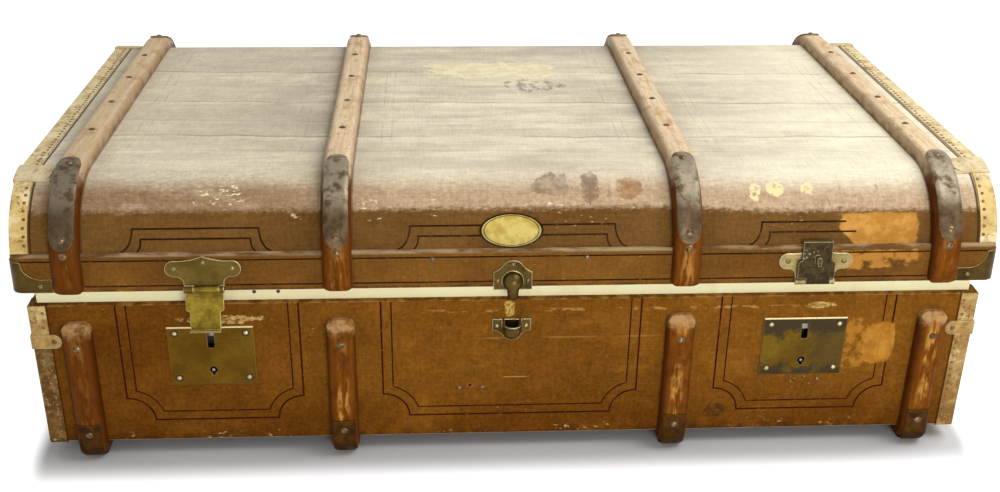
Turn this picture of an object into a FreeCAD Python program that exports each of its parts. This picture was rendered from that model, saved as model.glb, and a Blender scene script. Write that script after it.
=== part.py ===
import FreeCAD, Part
import math
import os

V = FreeCAD.Vector
X = V(1, 0, 0)
Y = V(0, 1, 0)
Z = V(0, 0, 1)

# Flat-topped slatted cabin trunk, in millimetres: +Z up, front towards -Y, standing on z = 0.
# The lid is drawn shut and turned to its ajar rest at the end.

# Body case, over the canvas faces
BODY_WIDTH = 996.0
BODY_DEPTH = 598.0
BODY_HEIGHT = 172.0
WALL = 7.0
FLOOR = 8.0
BOTTOM_EDGE_R = 6.0

# Lid case: a bent shell with a straight lower wall, round shoulders and a flat top
LID_OVERHANG = 8.0
LID_PROUD = 1.6
LID_STRAIGHT = 15.5
SHOULDER_R = 75.0
LID_WALL = 5.0
LID_END = 12.0
SEAM = 1.0
LID_AJAR_DEG = 3.2

# Pale collar inside the body's mouth
COLLAR = 6.0
COLLAR_ABOVE = 30.0
COLLAR_BELOW = 20.0

# Valance band round the lid's lower edge, dropping over the body at the front and ends
VALANCE = 4.0
VALANCE_ABOVE = 25.0
VALANCE_DROP = 16.5
VALANCE_EDGE_R = 2.8
VALANCE_CORNER_R = 12.0

# Edge binding, its fastening clips and the lid's metal corners
BINDING = 1.2
BINDING_FACE = 18.0
CLIP = 1.5
BODY_CLIP_W = 16.0
BODY_CLIP_SLAT_GAP = 2.2
BODY_CLIP_GAP = 42.0
LID_CLIP_SLAT_GAP = 5.0
LID_CLIP_DEG = 78.0
LID_CLIP_SPAN_DEG = 22.0
CAP = 1.2
CAP_SLAT_GAP = 1.0
CAP_SIDE = 40.0
CAP_LOW = 15.0
CAP_HIGH = 34.0

# Wooden slats with rounded long edges
SLAT_W = 30.0
SLAT_T = 14.0
SLAT_ROUND = 8.0
SLAT_END_R = 9.0
SLAT_BEVEL = 8.0
SLAT_BEVEL_RISE = 10.0
SLAT_END_INSET = 46.0
SLAT_PITCH = 272.0
BODY_SLAT_GAP = 19.0
LID_SLAT_DROP = 2.0
LID_SLAT_BACK_GAP = 3.0

# Iron shoes under the body slats and iron straps over the lid's shoulders
IRON = 2.0
IRON_MARGIN = 3.5
SHOE_RISE = 26.0
SHOE_UNDER = 45.0
STRAP_LOW_DEG = 18.7
STRAP_HIGH_DEG = 75.7

# Nails and rivets
NAIL_R = 4.0
NAIL_H = 1.6
BODY_NAIL_GAP = 45.0
SHOE_RIVET_RISE = 20.0
LID_NAIL_DEG = 7.7
TOP_NAIL_PITCH = 98.0
TOP_NAIL_COUNT = 4
RIVET_R = 2.9
RIVET_H = 1.2

# Locks: face plate, case let into the front panel, sliding bolt
LOCK_PLATE = 1.5
LOCK_W = 90.0
LOCK_H = 71.0
LOCK_GAP = 27.0
LOCK_RIVET_IN = 8.0
SLOT_W = 7.0
SLOT_H = 20.0
SLOT_GAP = 6.0
KEYHOLE_R = 4.0
KEYHOLE_RISE = 18.0
KEYHOLE_SLIT_W = 3.0
KEYHOLE_SLIT_H = 6.5
KEY_PIN_R = 1.6
CASE_W = 60.0
CASE_H = 61.0
CASE_DEPTH = 15.0
CASE_WALL = 1.5
BOLT_L = 20.0
BOLT_H = 6.0
BOLT_T = 1.6
BOLT_TRAVEL = 9.0
BOLT_CLEAR = 0.3
GUIDE = 2.0

# Hasps: moustache plate on the valance, hinged tongue with a staple on its back
HASP_PLATE = 1.6
HASP_STEM_W = 41.0
HASP_WING_W = 77.0
HASP_WING_R = 9.0
HASP_WING_RISE = 25.0
HASP_RISE = 39.0
HASP_PIN_RISE = 3.0
HASP_PIN_R = 1.5
HASP_KNUCKLE_R = 3.4
HASP_KNUCKLE_LEFT = 10.0
HASP_KNUCKLE_RIGHT = 5.0
RUN_CLEAR = 0.05
SIDE_CLEAR = 0.3
TONGUE_T = 1.8
TONGUE_L = 45.0
TONGUE_STEP = 20.0
TONGUE_W = 39.0
TONGUE_END_W = 31.0
LIP = 4.5
STAPLE_T = 4.0
STAPLE_H = 9.0
STAPLE_WALL = 1.5
HASP_LEFT_DEG = 14.0
HASP_RIGHT_DEG = 183.0

# Guide dowel at the middle of the front
DOWEL_PLATE_W = 40.0
DOWEL_PLATE_LOW = 3.0
DOWEL_PLATE_SHOULDER = 17.0
DOWEL_PLATE_RISE = 30.0
DOWEL_CROWN_R = 13.0
DOWEL_BULGE_R = 11.0
DOWEL_BULGE_RISE = 7.0
DOWEL_BULGE_OUT = 2.5
PEG_R = 5.2
PEG_ROOT_R = 7.0
PEG_DROP = 12.0
PEG_CLEAR = 0.6
CUP_W = 41.0
CUP_GAP = 23.0
CUP_H = 26.0
CUP_LOBE = 9.0
CUP_LOBE_RISE = 5.0
CUP_SCALLOP = 1.2
CUP_RIVET_GAP = 8.0
CUP_POCKET_H = 17.0
CUP_WALL = 2.0
CUP_PLAY = 2.8

# Hinges along the back
HINGE_W = 60.0
HINGE_LEAF = 2.0
HINGE_LEAF_H = 26.0
HINGE_OUT = 6.0
HINGE_KNUCKLE_R = 4.5
HINGE_PIN_R = 2.2
HINGE_CLEAR = 0.5

# Leather end handles under metal loops
HANDLE_GAP = 72.0
HANDLE_W = 26.0
HANDLE_T = 6.0
HANDLE_ROUND = 2.0
HANDLE_HALF = 75.0
HANDLE_BOW = 14.0
HANDLE_TAIL = 34.0
LOOP_L = 22.0
LOOP_T = 2.0
LOOP_FLANGE = 9.0

# Levels and faces worked out from the sizes above
GROUND = SLAT_T + IRON
BODY_X = BODY_WIDTH / 2
BODY_Y = BODY_DEPTH / 2
BODY_TOP = GROUND + BODY_HEIGHT
LID_X = BODY_X + LID_OVERHANG
LID_Y = BODY_Y + LID_PROUD
LID_BASE = BODY_TOP + SEAM
SHOULDER_Y = LID_Y - SHOULDER_R
SHOULDER_Z = LID_BASE + LID_STRAIGHT
LID_TOP = SHOULDER_Z + SHOULDER_R
VALANCE_LOW = LID_BASE - VALANCE_DROP
VALANCE_HIGH = LID_BASE + VALANCE_ABOVE
VALANCE_X = LID_X + VALANCE
VALANCE_Y = LID_Y + VALANCE
HINGE_Y = LID_Y + HINGE_OUT
HINGE_Z = LID_BASE - SEAM / 2
SLAT_OUTER_X = BODY_X - SLAT_END_INSET
SLAT_INNER_X = SLAT_OUTER_X - SLAT_PITCH
SLAT_XS = (-SLAT_OUTER_X, -SLAT_INNER_X, SLAT_INNER_X, SLAT_OUTER_X)
SLAT_OUTER_EDGE = SLAT_OUTER_X + SLAT_W / 2
LOCK_X = (SLAT_INNER_X + SLAT_OUTER_X) / 2
HINGE_X = LOCK_X
FLAT_HALF = SLAT_W / 2 - SLAT_ROUND
IRON_HALF = SLAT_W / 2 - IRON_MARGIN
LOCK_TOP = BODY_TOP - LOCK_GAP
LOCK_LOW = LOCK_TOP - LOCK_H
SLOT_TOP = LOCK_TOP - SLOT_GAP
SLOT_MID = SLOT_TOP - SLOT_H / 2
PLATE_BACK_Y = -BODY_Y
PLATE_FACE_Y = -BODY_Y - LOCK_PLATE
HASP_Y = -VALANCE_Y - HASP_KNUCKLE_R - SIDE_CLEAR
HASP_Z = VALANCE_LOW + HASP_PIN_RISE
BIG = 2 * (BODY_WIDTH + BODY_DEPTH)

HALF_ROOT = math.sqrt(0.5)
parts = {}


def box(x0, x1, y0, y1, z0, z1):
    return Part.makeBox(x1 - x0, y1 - y0, z1 - z0, V(x0, y0, z0))


def rod(radius, start, end):
    return Part.makeCylinder(radius, (end - start).Length, start, end - start)


def outline(start, *steps):
    """Closed wire: a step is a point for a straight run, or (through, end) for an arc."""
    edges = []
    here = start
    for step in steps + (start,):
        if isinstance(step, tuple):
            edges.append(Part.Arc(here, step[0], step[1]).toShape())
            here = step[1]
        elif here.distanceToPoint(step) > 1e-6:
            edges.append(Part.LineSegment(here, step).toShape())
            here = step
    return Part.Wire(edges)


def prism(wire, along):
    return Part.Face(wire).extrude(along)


def joined(first, *others):
    shape = first
    for other in others:
        shape = shape.fuse(other)
    return shape.removeSplitter()


def mirrored_front_to_back(shape):
    return shape.mirror(V(0, 0, 0), Y)


def mirrored_left_to_right(shape):
    return shape.mirror(V(0, 0, 0), X)


def dome(point, out, radius=NAIL_R, height=NAIL_H):
    """Domed head seated on a face at point, standing out along out."""
    ball = (radius * radius + height * height) / (2 * height)
    low = math.degrees(math.asin((ball - height) / ball))
    return Part.makeSphere(ball, point - out * (ball - height), out, low, 90, 360)


def add(name, *solids):
    """Adds a node made of one solid, or of several separate ones."""
    single = []
    for solid in solids:
        single.extend(solid.Solids)
    parts[name] = single[0] if len(single) == 1 else Part.Compound(single)


def body_block(grow, x0, x1):
    """The body's outside form between x0 and x1, its faces moved out by grow."""
    y = BODY_Y + grow
    low = GROUND - grow
    r = max(BOTTOM_EDGE_R + grow, WALL / 10)
    k = r * (1 - HALF_ROOT)
    wire = outline(
        V(x0, -y, BODY_TOP),
        V(x0, -y, low + r),
        (V(x0, -y + k, low + k), V(x0, -y + r, low)),
        V(x0, y - r, low),
        (V(x0, y - k, low + k), V(x0, y, low + r)),
        V(x0, y, BODY_TOP),
    )
    return prism(wire, X * (x1 - x0))


def lid_block(grow, x0, x1):
    """The lid's outside form between x0 and x1, its faces moved out by grow."""
    y = LID_Y + grow
    r = SHOULDER_R + grow
    s = r * HALF_ROOT
    wire = outline(
        V(x0, -y, LID_BASE),
        V(x0, -y, SHOULDER_Z),
        (V(x0, -SHOULDER_Y - s, SHOULDER_Z + s), V(x0, -SHOULDER_Y, SHOULDER_Z + r)),
        V(x0, SHOULDER_Y, SHOULDER_Z + r),
        (V(x0, SHOULDER_Y + s, SHOULDER_Z + s), V(x0, y, SHOULDER_Z)),
        V(x0, y, LID_BASE),
    )
    return prism(wire, X * (x1 - x0))


def plan_block(grow, z0, z1):
    """The valance's outside form in plan, with round corners, its faces moved out by grow."""
    x = VALANCE_X + grow
    y = VALANCE_Y + grow
    r = VALANCE_CORNER_R + grow
    k = r * (1 - HALF_ROOT)
    wire = outline(
        V(-x + r, -y, z0),
        V(x - r, -y, z0),
        (V(x - k, -y + k, z0), V(x, -y + r, z0)),
        V(x, y - r, z0),
        (V(x - k, y - k, z0), V(x - r, y, z0)),
        V(-x + r, y, z0),
        (V(-x + k, y - k, z0), V(-x, y - r, z0)),
        V(-x, -y + r, z0),
        (V(-x + k, -y + k, z0), V(-x + r, -y, z0)),
    )
    return prism(wire, Z * (z1 - z0))


def slat_section(place):
    """Slat section: flat back, rounded front edges. place(u, v) puts width u and height v."""
    w = SLAT_W / 2
    k = SLAT_ROUND * (1 - HALF_ROOT)
    return outline(
        place(-w, 0),
        place(-w, SLAT_T - SLAT_ROUND),
        (place(-w + k, SLAT_T - k), place(-FLAT_HALF, SLAT_T)),
        place(FLAT_HALF, SLAT_T),
        (place(w - k, SLAT_T - k), place(w, SLAT_T - SLAT_ROUND)),
        place(w, 0),
    )


def shaped_end(slat, x, back_y, end_z, up):
    """Rounds the corners of a slat's square end on the front and bevels its front edge."""
    w = SLAT_W / 2
    r = SLAT_END_R
    front_y = back_y - SLAT_T
    mid_z = end_z - up * r
    low = min(mid_z, end_z)
    for side in (-1, 1):
        mid_x = x + side * (w - r)
        edge_x = x + side * w
        corner = box(min(mid_x, edge_x), max(mid_x, edge_x), front_y, back_y, low, low + r)
        disc = rod(r, V(mid_x, front_y - 1, mid_z), V(mid_x, back_y + 1, mid_z))
        slat = slat.cut(corner.cut(disc))
    bevel = outline(
        V(x - w, front_y, end_z - up * SLAT_BEVEL_RISE),
        V(x - w, front_y + SLAT_BEVEL, end_z),
        V(x - w, front_y, end_z),
    )
    return slat.cut(prism(bevel, X * SLAT_W))


def iron_section(place):
    """Section of an iron strip hugging the slat's face and part of its rounded edges."""
    turn = math.asin(max(IRON_HALF - FLAT_HALF, 0) / SLAT_ROUND)
    flat = min(FLAT_HALF, IRON_HALF)
    centre = SLAT_T - SLAT_ROUND

    def rim(side, radius, angle):
        return place(side * (flat + radius * math.sin(angle)), centre + radius * math.cos(angle))

    inner = SLAT_ROUND
    outer = SLAT_ROUND + IRON
    if turn == 0:
        return outline(rim(-1, inner, 0), rim(-1, outer, 0), rim(1, outer, 0), rim(1, inner, 0))
    return outline(
        rim(-1, inner, turn),
        rim(-1, outer, turn),
        (rim(-1, outer, turn / 2), rim(-1, outer, 0)),
        rim(1, outer, 0),
        (rim(1, outer, turn / 2), rim(1, outer, turn)),
        rim(1, inner, turn),
        (rim(1, inner, turn / 2), rim(1, inner, 0)),
        rim(-1, inner, 0),
        (rim(-1, inner, turn / 2), rim(-1, inner, turn)),
    )


def on_shoulder(shape, degrees):
    """Carries a piece drawn on the lid's front at the shoulder's start round the bend."""
    turned = shape.copy()
    turned.rotate(V(0, -SHOULDER_Y, SHOULDER_Z), X, -degrees)
    return turned


def body_panels():
    case = body_block(0, -BODY_X, BODY_X)
    inner_x = BODY_X - WALL
    inner_y = BODY_Y - WALL
    front = case.common(box(-BODY_X, BODY_X, -BODY_Y, -inner_y, GROUND, BODY_TOP))
    add("body_back_panel", mirrored_front_to_back(front))
    for side in (-1, 1):
        front = front.cut(lock_room(side * LOCK_X))
    add("body_front_panel", front)
    left = case.common(box(-BODY_X, -inner_x, -inner_y, inner_y, GROUND, BODY_TOP))
    add("body_left_end", left)
    add("body_right_end", mirrored_left_to_right(left))
    add("body_floor", case.common(box(-inner_x, inner_x, -inner_y, inner_y, GROUND, GROUND + FLOOR)))


def collar():
    x = BODY_X - WALL
    y = BODY_Y - WALL
    low = BODY_TOP - COLLAR_BELOW
    high = BODY_TOP + COLLAR_ABOVE
    front = box(-x, x, -y, -y + COLLAR, low, high)
    left = box(-x, -x + COLLAR, -y + COLLAR, y - COLLAR, low, high)
    add("collar_front", front)
    add("collar_back", mirrored_front_to_back(front))
    add("collar_left", left)
    add("collar_right", mirrored_left_to_right(left))


def body_slats():
    top = BODY_TOP - BODY_SLAT_GAP
    bend = GROUND + BOTTOM_EDGE_R
    k = BOTTOM_EDGE_R * (1 - HALF_ROOT)
    foot_y = -BODY_Y + BOTTOM_EDGE_R
    backs = []
    runners = []
    shoes = []
    nails = []
    for number, x in enumerate(SLAT_XS, 1):
        elbow = Part.Arc(V(x, -BODY_Y, bend), V(x, -BODY_Y + k, GROUND + k), V(x, foot_y, GROUND))
        upright = Part.LineSegment(V(x, -BODY_Y, top), V(x, -BODY_Y, bend))
        stem = slat_section(lambda u, v: V(x + u, -BODY_Y - v, top))
        pipe = Part.Wire([upright.toShape(), elbow.toShape()]).makePipeShell([stem], True, False)
        slat = shaped_end(pipe, x, -BODY_Y, top, 1)
        add("body_front_slat_%d" % number, slat)
        backs.append(mirrored_front_to_back(slat))

        under = slat_section(lambda u, v: V(x + u, foot_y, GROUND - v))
        runners.append(prism(under, Y * (-2 * foot_y)))

        shoe_top = bend + SHOE_RISE
        down = Part.LineSegment(V(x, -BODY_Y, shoe_top), V(x, -BODY_Y, bend))
        along = Part.LineSegment(V(x, foot_y, GROUND), V(x, foot_y + SHOE_UNDER, GROUND))
        path = Part.Wire([down.toShape(), elbow.toShape(), along.toShape()])
        band = iron_section(lambda u, v: V(x + u, -BODY_Y - v, shoe_top))
        shoe = path.makePipeShell([band], True, False)
        shoes += [shoe, mirrored_front_to_back(shoe)]

        nail = dome(V(x, -BODY_Y - SLAT_T, BODY_TOP - BODY_NAIL_GAP), -Y)
        rivet = dome(V(x, -BODY_Y - SLAT_T - IRON, GROUND + SHOE_RIVET_RISE), -Y)
        nails += [nail, rivet, mirrored_front_to_back(nail), mirrored_front_to_back(rivet)]
    add("body_back_slats", *backs)
    add("body_runners", *runners)
    add("slat_shoes", *shoes)
    add("body_slat_nails", *nails)


def body_binding():
    outer_x = BODY_X + BINDING
    inner_x = outer_x - BINDING_FACE
    strip = body_block(BINDING, -outer_x, -inner_x)
    strip = strip.cut(body_block(0, -BODY_X, BODY_X))
    strip = strip.cut(body_block(-BINDING_FACE, -BIG, BIG))
    add("body_binding_left", strip)
    add("body_binding_right", mirrored_left_to_right(strip))

    # Each clip wraps the bound corner, with a round tab nailed to the front or back
    mid = BODY_TOP - BODY_CLIP_GAP
    half = BODY_CLIP_W / 2
    tip = -SLAT_OUTER_EDGE - BODY_CLIP_SLAT_GAP - half
    face = -BODY_Y - BINDING
    tab = outline(
        V(-outer_x - CLIP, face - CLIP, mid - half),
        V(tip, face - CLIP, mid - half),
        (V(tip + half, face - CLIP, mid), V(tip, face - CLIP, mid + half)),
        V(-outer_x - CLIP, face - CLIP, mid + half),
    )
    clip = prism(tab, Y * (CLIP + BINDING))
    wrap = box(-outer_x - CLIP, -outer_x, face - CLIP, -BODY_Y + BINDING_FACE, mid - half, mid + half)
    clip = joined(clip, wrap).cut(strip).cut(body_block(0, -BODY_X, BODY_X))
    left = [clip, mirrored_front_to_back(clip)]
    add("body_binding_clips", *left, *[mirrored_left_to_right(c) for c in left])


def lock_room(x):
    """The room of one lock's case in the front panel."""
    z0 = LOCK_LOW + (LOCK_H - CASE_H) / 2
    return box(x - CASE_W / 2, x + CASE_W / 2, -BODY_Y, -BODY_Y + CASE_DEPTH, z0, z0 + CASE_H)


def lock(side, x, thrown):
    room = lock_room(x)
    low = room.BoundBox.ZMin
    high = room.BoundBox.ZMax
    inside = CASE_W / 2 - CASE_WALL
    back = -BODY_Y + CASE_DEPTH - CASE_WALL
    hollow = box(x - inside, x + inside, -BODY_Y, back, low + CASE_WALL, high - CASE_WALL)

    # The bolt slides between two guide ribs behind the slot
    bolt_low = SLOT_MID + SLOT_H / 2 - BOLT_H - BOLT_CLEAR - GUIDE
    bolt_y = PLATE_BACK_Y + BOLT_CLEAR
    guide_end = bolt_low - BOLT_CLEAR
    under = box(x - inside, x + inside, PLATE_BACK_Y, back, guide_end - GUIDE, guide_end)
    over_low = bolt_low + BOLT_H + BOLT_CLEAR
    over = box(x - inside, x + inside, PLATE_BACK_Y, back, over_low, over_low + GUIDE)
    behind_y = bolt_y + BOLT_T + BOLT_CLEAR
    behind = box(x - inside, x + inside, behind_y, back, guide_end, over_low)
    slot = box(
        x - SLOT_W / 2, x + SLOT_W / 2, PLATE_FACE_Y, PLATE_BACK_Y + CASE_DEPTH / 2,
        SLOT_TOP - SLOT_H, SLOT_TOP,
    )
    key_z = LOCK_LOW + KEYHOLE_RISE
    pin = rod(KEY_PIN_R, V(x, back, key_z), V(x, PLATE_FACE_Y, key_z))
    guides = joined(under, over, behind).cut(slot)
    case = joined(room.cut(hollow), guides, pin)
    add("lock_case_" + side, case)

    plate = box(
        x - LOCK_W / 2, x + LOCK_W / 2, PLATE_FACE_Y, PLATE_BACK_Y, LOCK_LOW, LOCK_TOP,
    )
    keyhole = rod(KEYHOLE_R, V(x, PLATE_FACE_Y - 1, key_z), V(x, PLATE_BACK_Y + 1, key_z))
    slit = box(
        x - KEYHOLE_SLIT_W / 2, x + KEYHOLE_SLIT_W / 2, PLATE_FACE_Y - 1, PLATE_BACK_Y + 1,
        key_z - KEYHOLE_SLIT_H, key_z,
    )
    plate = plate.cut(slot).cut(joined(keyhole, slit))
    add("lock_plate_" + side, plate)

    start = SLOT_W / 2 + (BOLT_TRAVEL - SLOT_W) / 2 - (BOLT_TRAVEL if thrown else 0)
    bolt = box(x + start, x + start + BOLT_L, bolt_y, bolt_y + BOLT_T, bolt_low, bolt_low + BOLT_H)
    add("lock_bolt_" + side, bolt)

    heads = []
    for dx in (-1, 1):
        for z in (LOCK_LOW + LOCK_RIVET_IN, LOCK_TOP - LOCK_RIVET_IN):
            head_x = x + dx * (LOCK_W / 2 - LOCK_RIVET_IN)
            heads.append(dome(V(head_x, PLATE_FACE_Y, z), -Y, RIVET_R, RIVET_H))
    return heads


def dowel_cup():
    """Shield plate with a round pocket that takes the lid's peg."""
    high = BODY_TOP - CUP_GAP
    low = high - CUP_H
    w = CUP_W / 2
    waist = low + CUP_H / 2
    lobe = low + CUP_LOBE_RISE
    in_x = (w + CUP_LOBE) / 2 - CUP_SCALLOP
    in_z = (waist + lobe) / 2 + CUP_SCALLOP
    shield = outline(
        V(-w, -BODY_Y, high),
        V(-w, -BODY_Y, waist),
        (V(-in_x, -BODY_Y, in_z), V(-CUP_LOBE, -BODY_Y, lobe)),
        (V(0, -BODY_Y, low), V(CUP_LOBE, -BODY_Y, lobe)),
        (V(in_x, -BODY_Y, in_z), V(w, -BODY_Y, waist)),
        V(w, -BODY_Y, high),
    )
    plate = prism(shield, -Y * HASP_PLATE)
    peg_y = peg_axis_y()
    inner = PEG_R + CUP_PLAY
    pocket = cup_form(peg_y, inner + CUP_WALL, CUP_POCKET_H, -BODY_Y)
    hollow = cup_form(peg_y, inner, CUP_POCKET_H - CUP_WALL, -BODY_Y - HASP_PLATE)
    add("dowel_cup", joined(plate, pocket).cut(hollow))
    face = -BODY_Y - HASP_PLATE
    rivet_x = (w + inner + CUP_WALL) / 2
    rivet_z = high - CUP_RIVET_GAP
    spots = [(-rivet_x, rivet_z), (rivet_x, rivet_z), (0, low + RIVET_R + 1)]
    return [dome(V(x, face, z), -Y, RIVET_R * 0.8, RIVET_H) for x, z in spots]


def cup_form(peg_y, radius, height, back_y):
    """A pocket round the peg with a half-round bottom, carried back to the plate."""
    high = BODY_TOP - CUP_GAP
    bend = high - max(height - radius, 1)
    front = outline(
        V(-radius, peg_y, high),
        V(-radius, peg_y, bend),
        (V(0, peg_y, bend - radius), V(radius, peg_y, bend)),
        V(radius, peg_y, high),
    )
    neck = prism(front, Y * (back_y - peg_y))
    barrel = rod(radius, V(0, peg_y, bend), V(0, peg_y, high))
    bowl = Part.makeSphere(radius, V(0, peg_y, bend))
    bowl = bowl.common(box(-BIG, BIG, -BIG, BIG, -BIG, bend))
    return joined(neck, barrel, bowl)


def peg_axis_y():
    return -VALANCE_Y - PEG_CLEAR - PEG_R


def lid_case():
    shell = lid_block(0, -LID_X, LID_X).cut(lid_block(-LID_WALL, -LID_X, LID_X))
    add("lid_shell", shell)
    left = lid_block(-LID_WALL, -LID_X, -LID_X + LID_END)
    add("lid_left_end", left)
    add("lid_right_end", mirrored_left_to_right(left))


def valance_ring():
    ring = plan_block(0, VALANCE_LOW, VALANCE_HIGH)
    rim = [e for e in ring.Edges if e.BoundBox.ZMin > VALANCE_HIGH - 0.01]
    ring = ring.makeFillet(min(VALANCE_EDGE_R, VALANCE * 0.9), rim)
    ring = ring.cut(lid_block(0, -LID_X, LID_X))
    ring = ring.cut(box(-LID_X, LID_X, -LID_Y, LID_Y, VALANCE_LOW, LID_BASE))
    ring = ring.cut(box(-BIG, BIG, valance_split(), BIG, VALANCE_LOW, LID_BASE))
    for x in (-HINGE_X, 0, HINGE_X):
        half = HINGE_W / 2 + HINGE_CLEAR
        start = V(x - half, HINGE_Y, HINGE_Z)
        end = V(x + half, HINGE_Y, HINGE_Z)
        ring = ring.cut(rod(HINGE_KNUCKLE_R + HINGE_CLEAR, start, end))
    return ring


def valance_split():
    """How far from the middle the front and back bands meet the end bands."""
    return LID_Y - 2 * LID_WALL


def valance(ring):
    split = valance_split()
    front = ring.common(box(-BIG, BIG, -BIG, -split, 0, BIG))
    back = ring.common(box(-BIG, BIG, split, BIG, 0, BIG))
    add("valance_front", front)
    add("valance_back", back)
    add("valance_left", ring.common(box(-BIG, 0, -split, split, 0, BIG)))
    add("valance_right", ring.common(box(0, BIG, -split, split, 0, BIG)))


def lid_slats(ring):
    """Bent slats over the lid, rebated over the valance, with straps and nails."""
    low = VALANCE_LOW - LID_SLAT_DROP
    back_low = LID_BASE + LID_SLAT_BACK_GAP
    s = SHOULDER_R * HALF_ROOT
    rebate = box(-BIG, BIG, -VALANCE_Y, -BODY_Y, low - 1, LID_BASE)
    straps = []
    nails = []
    for number, x in enumerate(SLAT_XS, 1):
        runs = [
            Part.LineSegment(V(x, -LID_Y, low), V(x, -LID_Y, SHOULDER_Z)),
            Part.Arc(
                V(x, -LID_Y, SHOULDER_Z),
                V(x, -SHOULDER_Y - s, SHOULDER_Z + s),
                V(x, -SHOULDER_Y, LID_TOP),
            ),
            Part.LineSegment(V(x, -SHOULDER_Y, LID_TOP), V(x, SHOULDER_Y, LID_TOP)),
            Part.Arc(
                V(x, SHOULDER_Y, LID_TOP),
                V(x, SHOULDER_Y + s, SHOULDER_Z + s),
                V(x, LID_Y, SHOULDER_Z),
            ),
        ]
        if back_low < SHOULDER_Z - 1:
            runs.append(Part.LineSegment(V(x, LID_Y, SHOULDER_Z), V(x, LID_Y, back_low)))
        section = slat_section(lambda u, v: V(x + u, -LID_Y - v, low))
        path = Part.Wire([run.toShape() for run in runs])
        slat = path.makePipeShell([section], True, False)
        slat = shaped_end(slat, x, -LID_Y, low, -1).cut(ring).cut(rebate)
        add("lid_slat_%d" % number, slat)

        strap = shoulder_strap(x)
        straps += [strap, mirrored_front_to_back(strap)]
        wood = dome(V(x, -LID_Y - SLAT_T, SHOULDER_Z), -Y)
        iron = dome(V(x, -LID_Y - SLAT_T - IRON, SHOULDER_Z), -Y)
        front = [
            on_shoulder(wood, LID_NAIL_DEG),
            on_shoulder(iron, STRAP_LOW_DEG),
            on_shoulder(iron, STRAP_HIGH_DEG),
        ]
        nails += front + [mirrored_front_to_back(n) for n in front]
        for step in range(TOP_NAIL_COUNT):
            y = (step - (TOP_NAIL_COUNT - 1) / 2) * TOP_NAIL_PITCH
            nails.append(dome(V(x, y, LID_TOP + SLAT_T), Z))
    add("lid_slat_straps", *straps)
    add("lid_slat_nails", *nails)


def shoulder_strap(x):
    """Iron strap round the front shoulder of one slat, its round ends centred on its nails."""
    reach = math.degrees(IRON_HALF / (SHOULDER_R + SLAT_T))
    first = STRAP_LOW_DEG - reach
    last = STRAP_HIGH_DEG + reach
    band = Part.Face(iron_section(lambda u, v: V(x + u, -LID_Y - v, SHOULDER_Z)))
    strap = band.revolve(V(x, -SHOULDER_Y, SHOULDER_Z), -X, last - first)
    strap = on_shoulder(strap, first)
    span = IRON_HALF + IRON
    near = -LID_Y - SLAT_T - 2 * IRON
    far = -LID_Y
    disc = rod(IRON_HALF, V(x, near - 1, SHOULDER_Z), V(x, far + 1, SHOULDER_Z))
    below = box(x - span, x + span, near, far, SHOULDER_Z - span, SHOULDER_Z).cut(disc)
    above = box(x - span, x + span, near, far, SHOULDER_Z, SHOULDER_Z + span).cut(disc)
    strap = strap.cut(on_shoulder(below, STRAP_LOW_DEG))
    return strap.cut(on_shoulder(above, STRAP_HIGH_DEG))


def lid_binding():
    outer_x = LID_X + BINDING
    inner_x = outer_x - BINDING_FACE
    strip = lid_block(BINDING, -outer_x, -inner_x)
    strip = strip.cut(lid_block(0, -LID_X, LID_X))
    strip = strip.cut(lid_block(-BINDING_FACE, -BIG, BIG))
    strip = strip.cut(box(-BIG, BIG, -BIG, BIG, 0, VALANCE_HIGH))
    add("lid_binding_left", strip)
    add("lid_binding_right", mirrored_left_to_right(strip))

    # Leather tab over the bound edge at the top of each shoulder
    first = LID_CLIP_DEG - LID_CLIP_SPAN_DEG / 2
    skin = BINDING + CLIP
    low = SHOULDER_Z
    end_x = -SLAT_OUTER_EDGE - LID_CLIP_SLAT_GAP
    flap = outline(
        V(-outer_x - CLIP, -LID_Y - skin, low),
        V(-outer_x - CLIP, -LID_Y + BINDING_FACE, low),
        V(-LID_X, -LID_Y + BINDING_FACE, low),
        V(-LID_X, -LID_Y, low),
        V(end_x, -LID_Y, low),
        V(end_x, -LID_Y - CLIP, low),
        V(-inner_x + CLIP, -LID_Y - skin, low),
    )
    centre = V(0, -SHOULDER_Y, SHOULDER_Z)
    clip = Part.Face(flap).revolve(centre, -X, LID_CLIP_SPAN_DEG)
    clip = on_shoulder(clip, first).cut(strip)
    half = (SHOULDER_R + skin) * math.radians(LID_CLIP_SPAN_DEG) / 2
    tip = end_x - half
    near = -LID_Y - 2 * skin
    disc = rod(half, V(tip, near - 1, low), V(tip, -LID_Y + 1, low))
    nose = box(tip, tip + 2 * half, near, -LID_Y, low - 2 * half, low + 2 * half).cut(disc)
    clip = clip.cut(on_shoulder(nose, LID_CLIP_DEG))
    left = [clip, mirrored_front_to_back(clip)]
    add("lid_binding_clips", *left, *[mirrored_left_to_right(c) for c in left])


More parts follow.
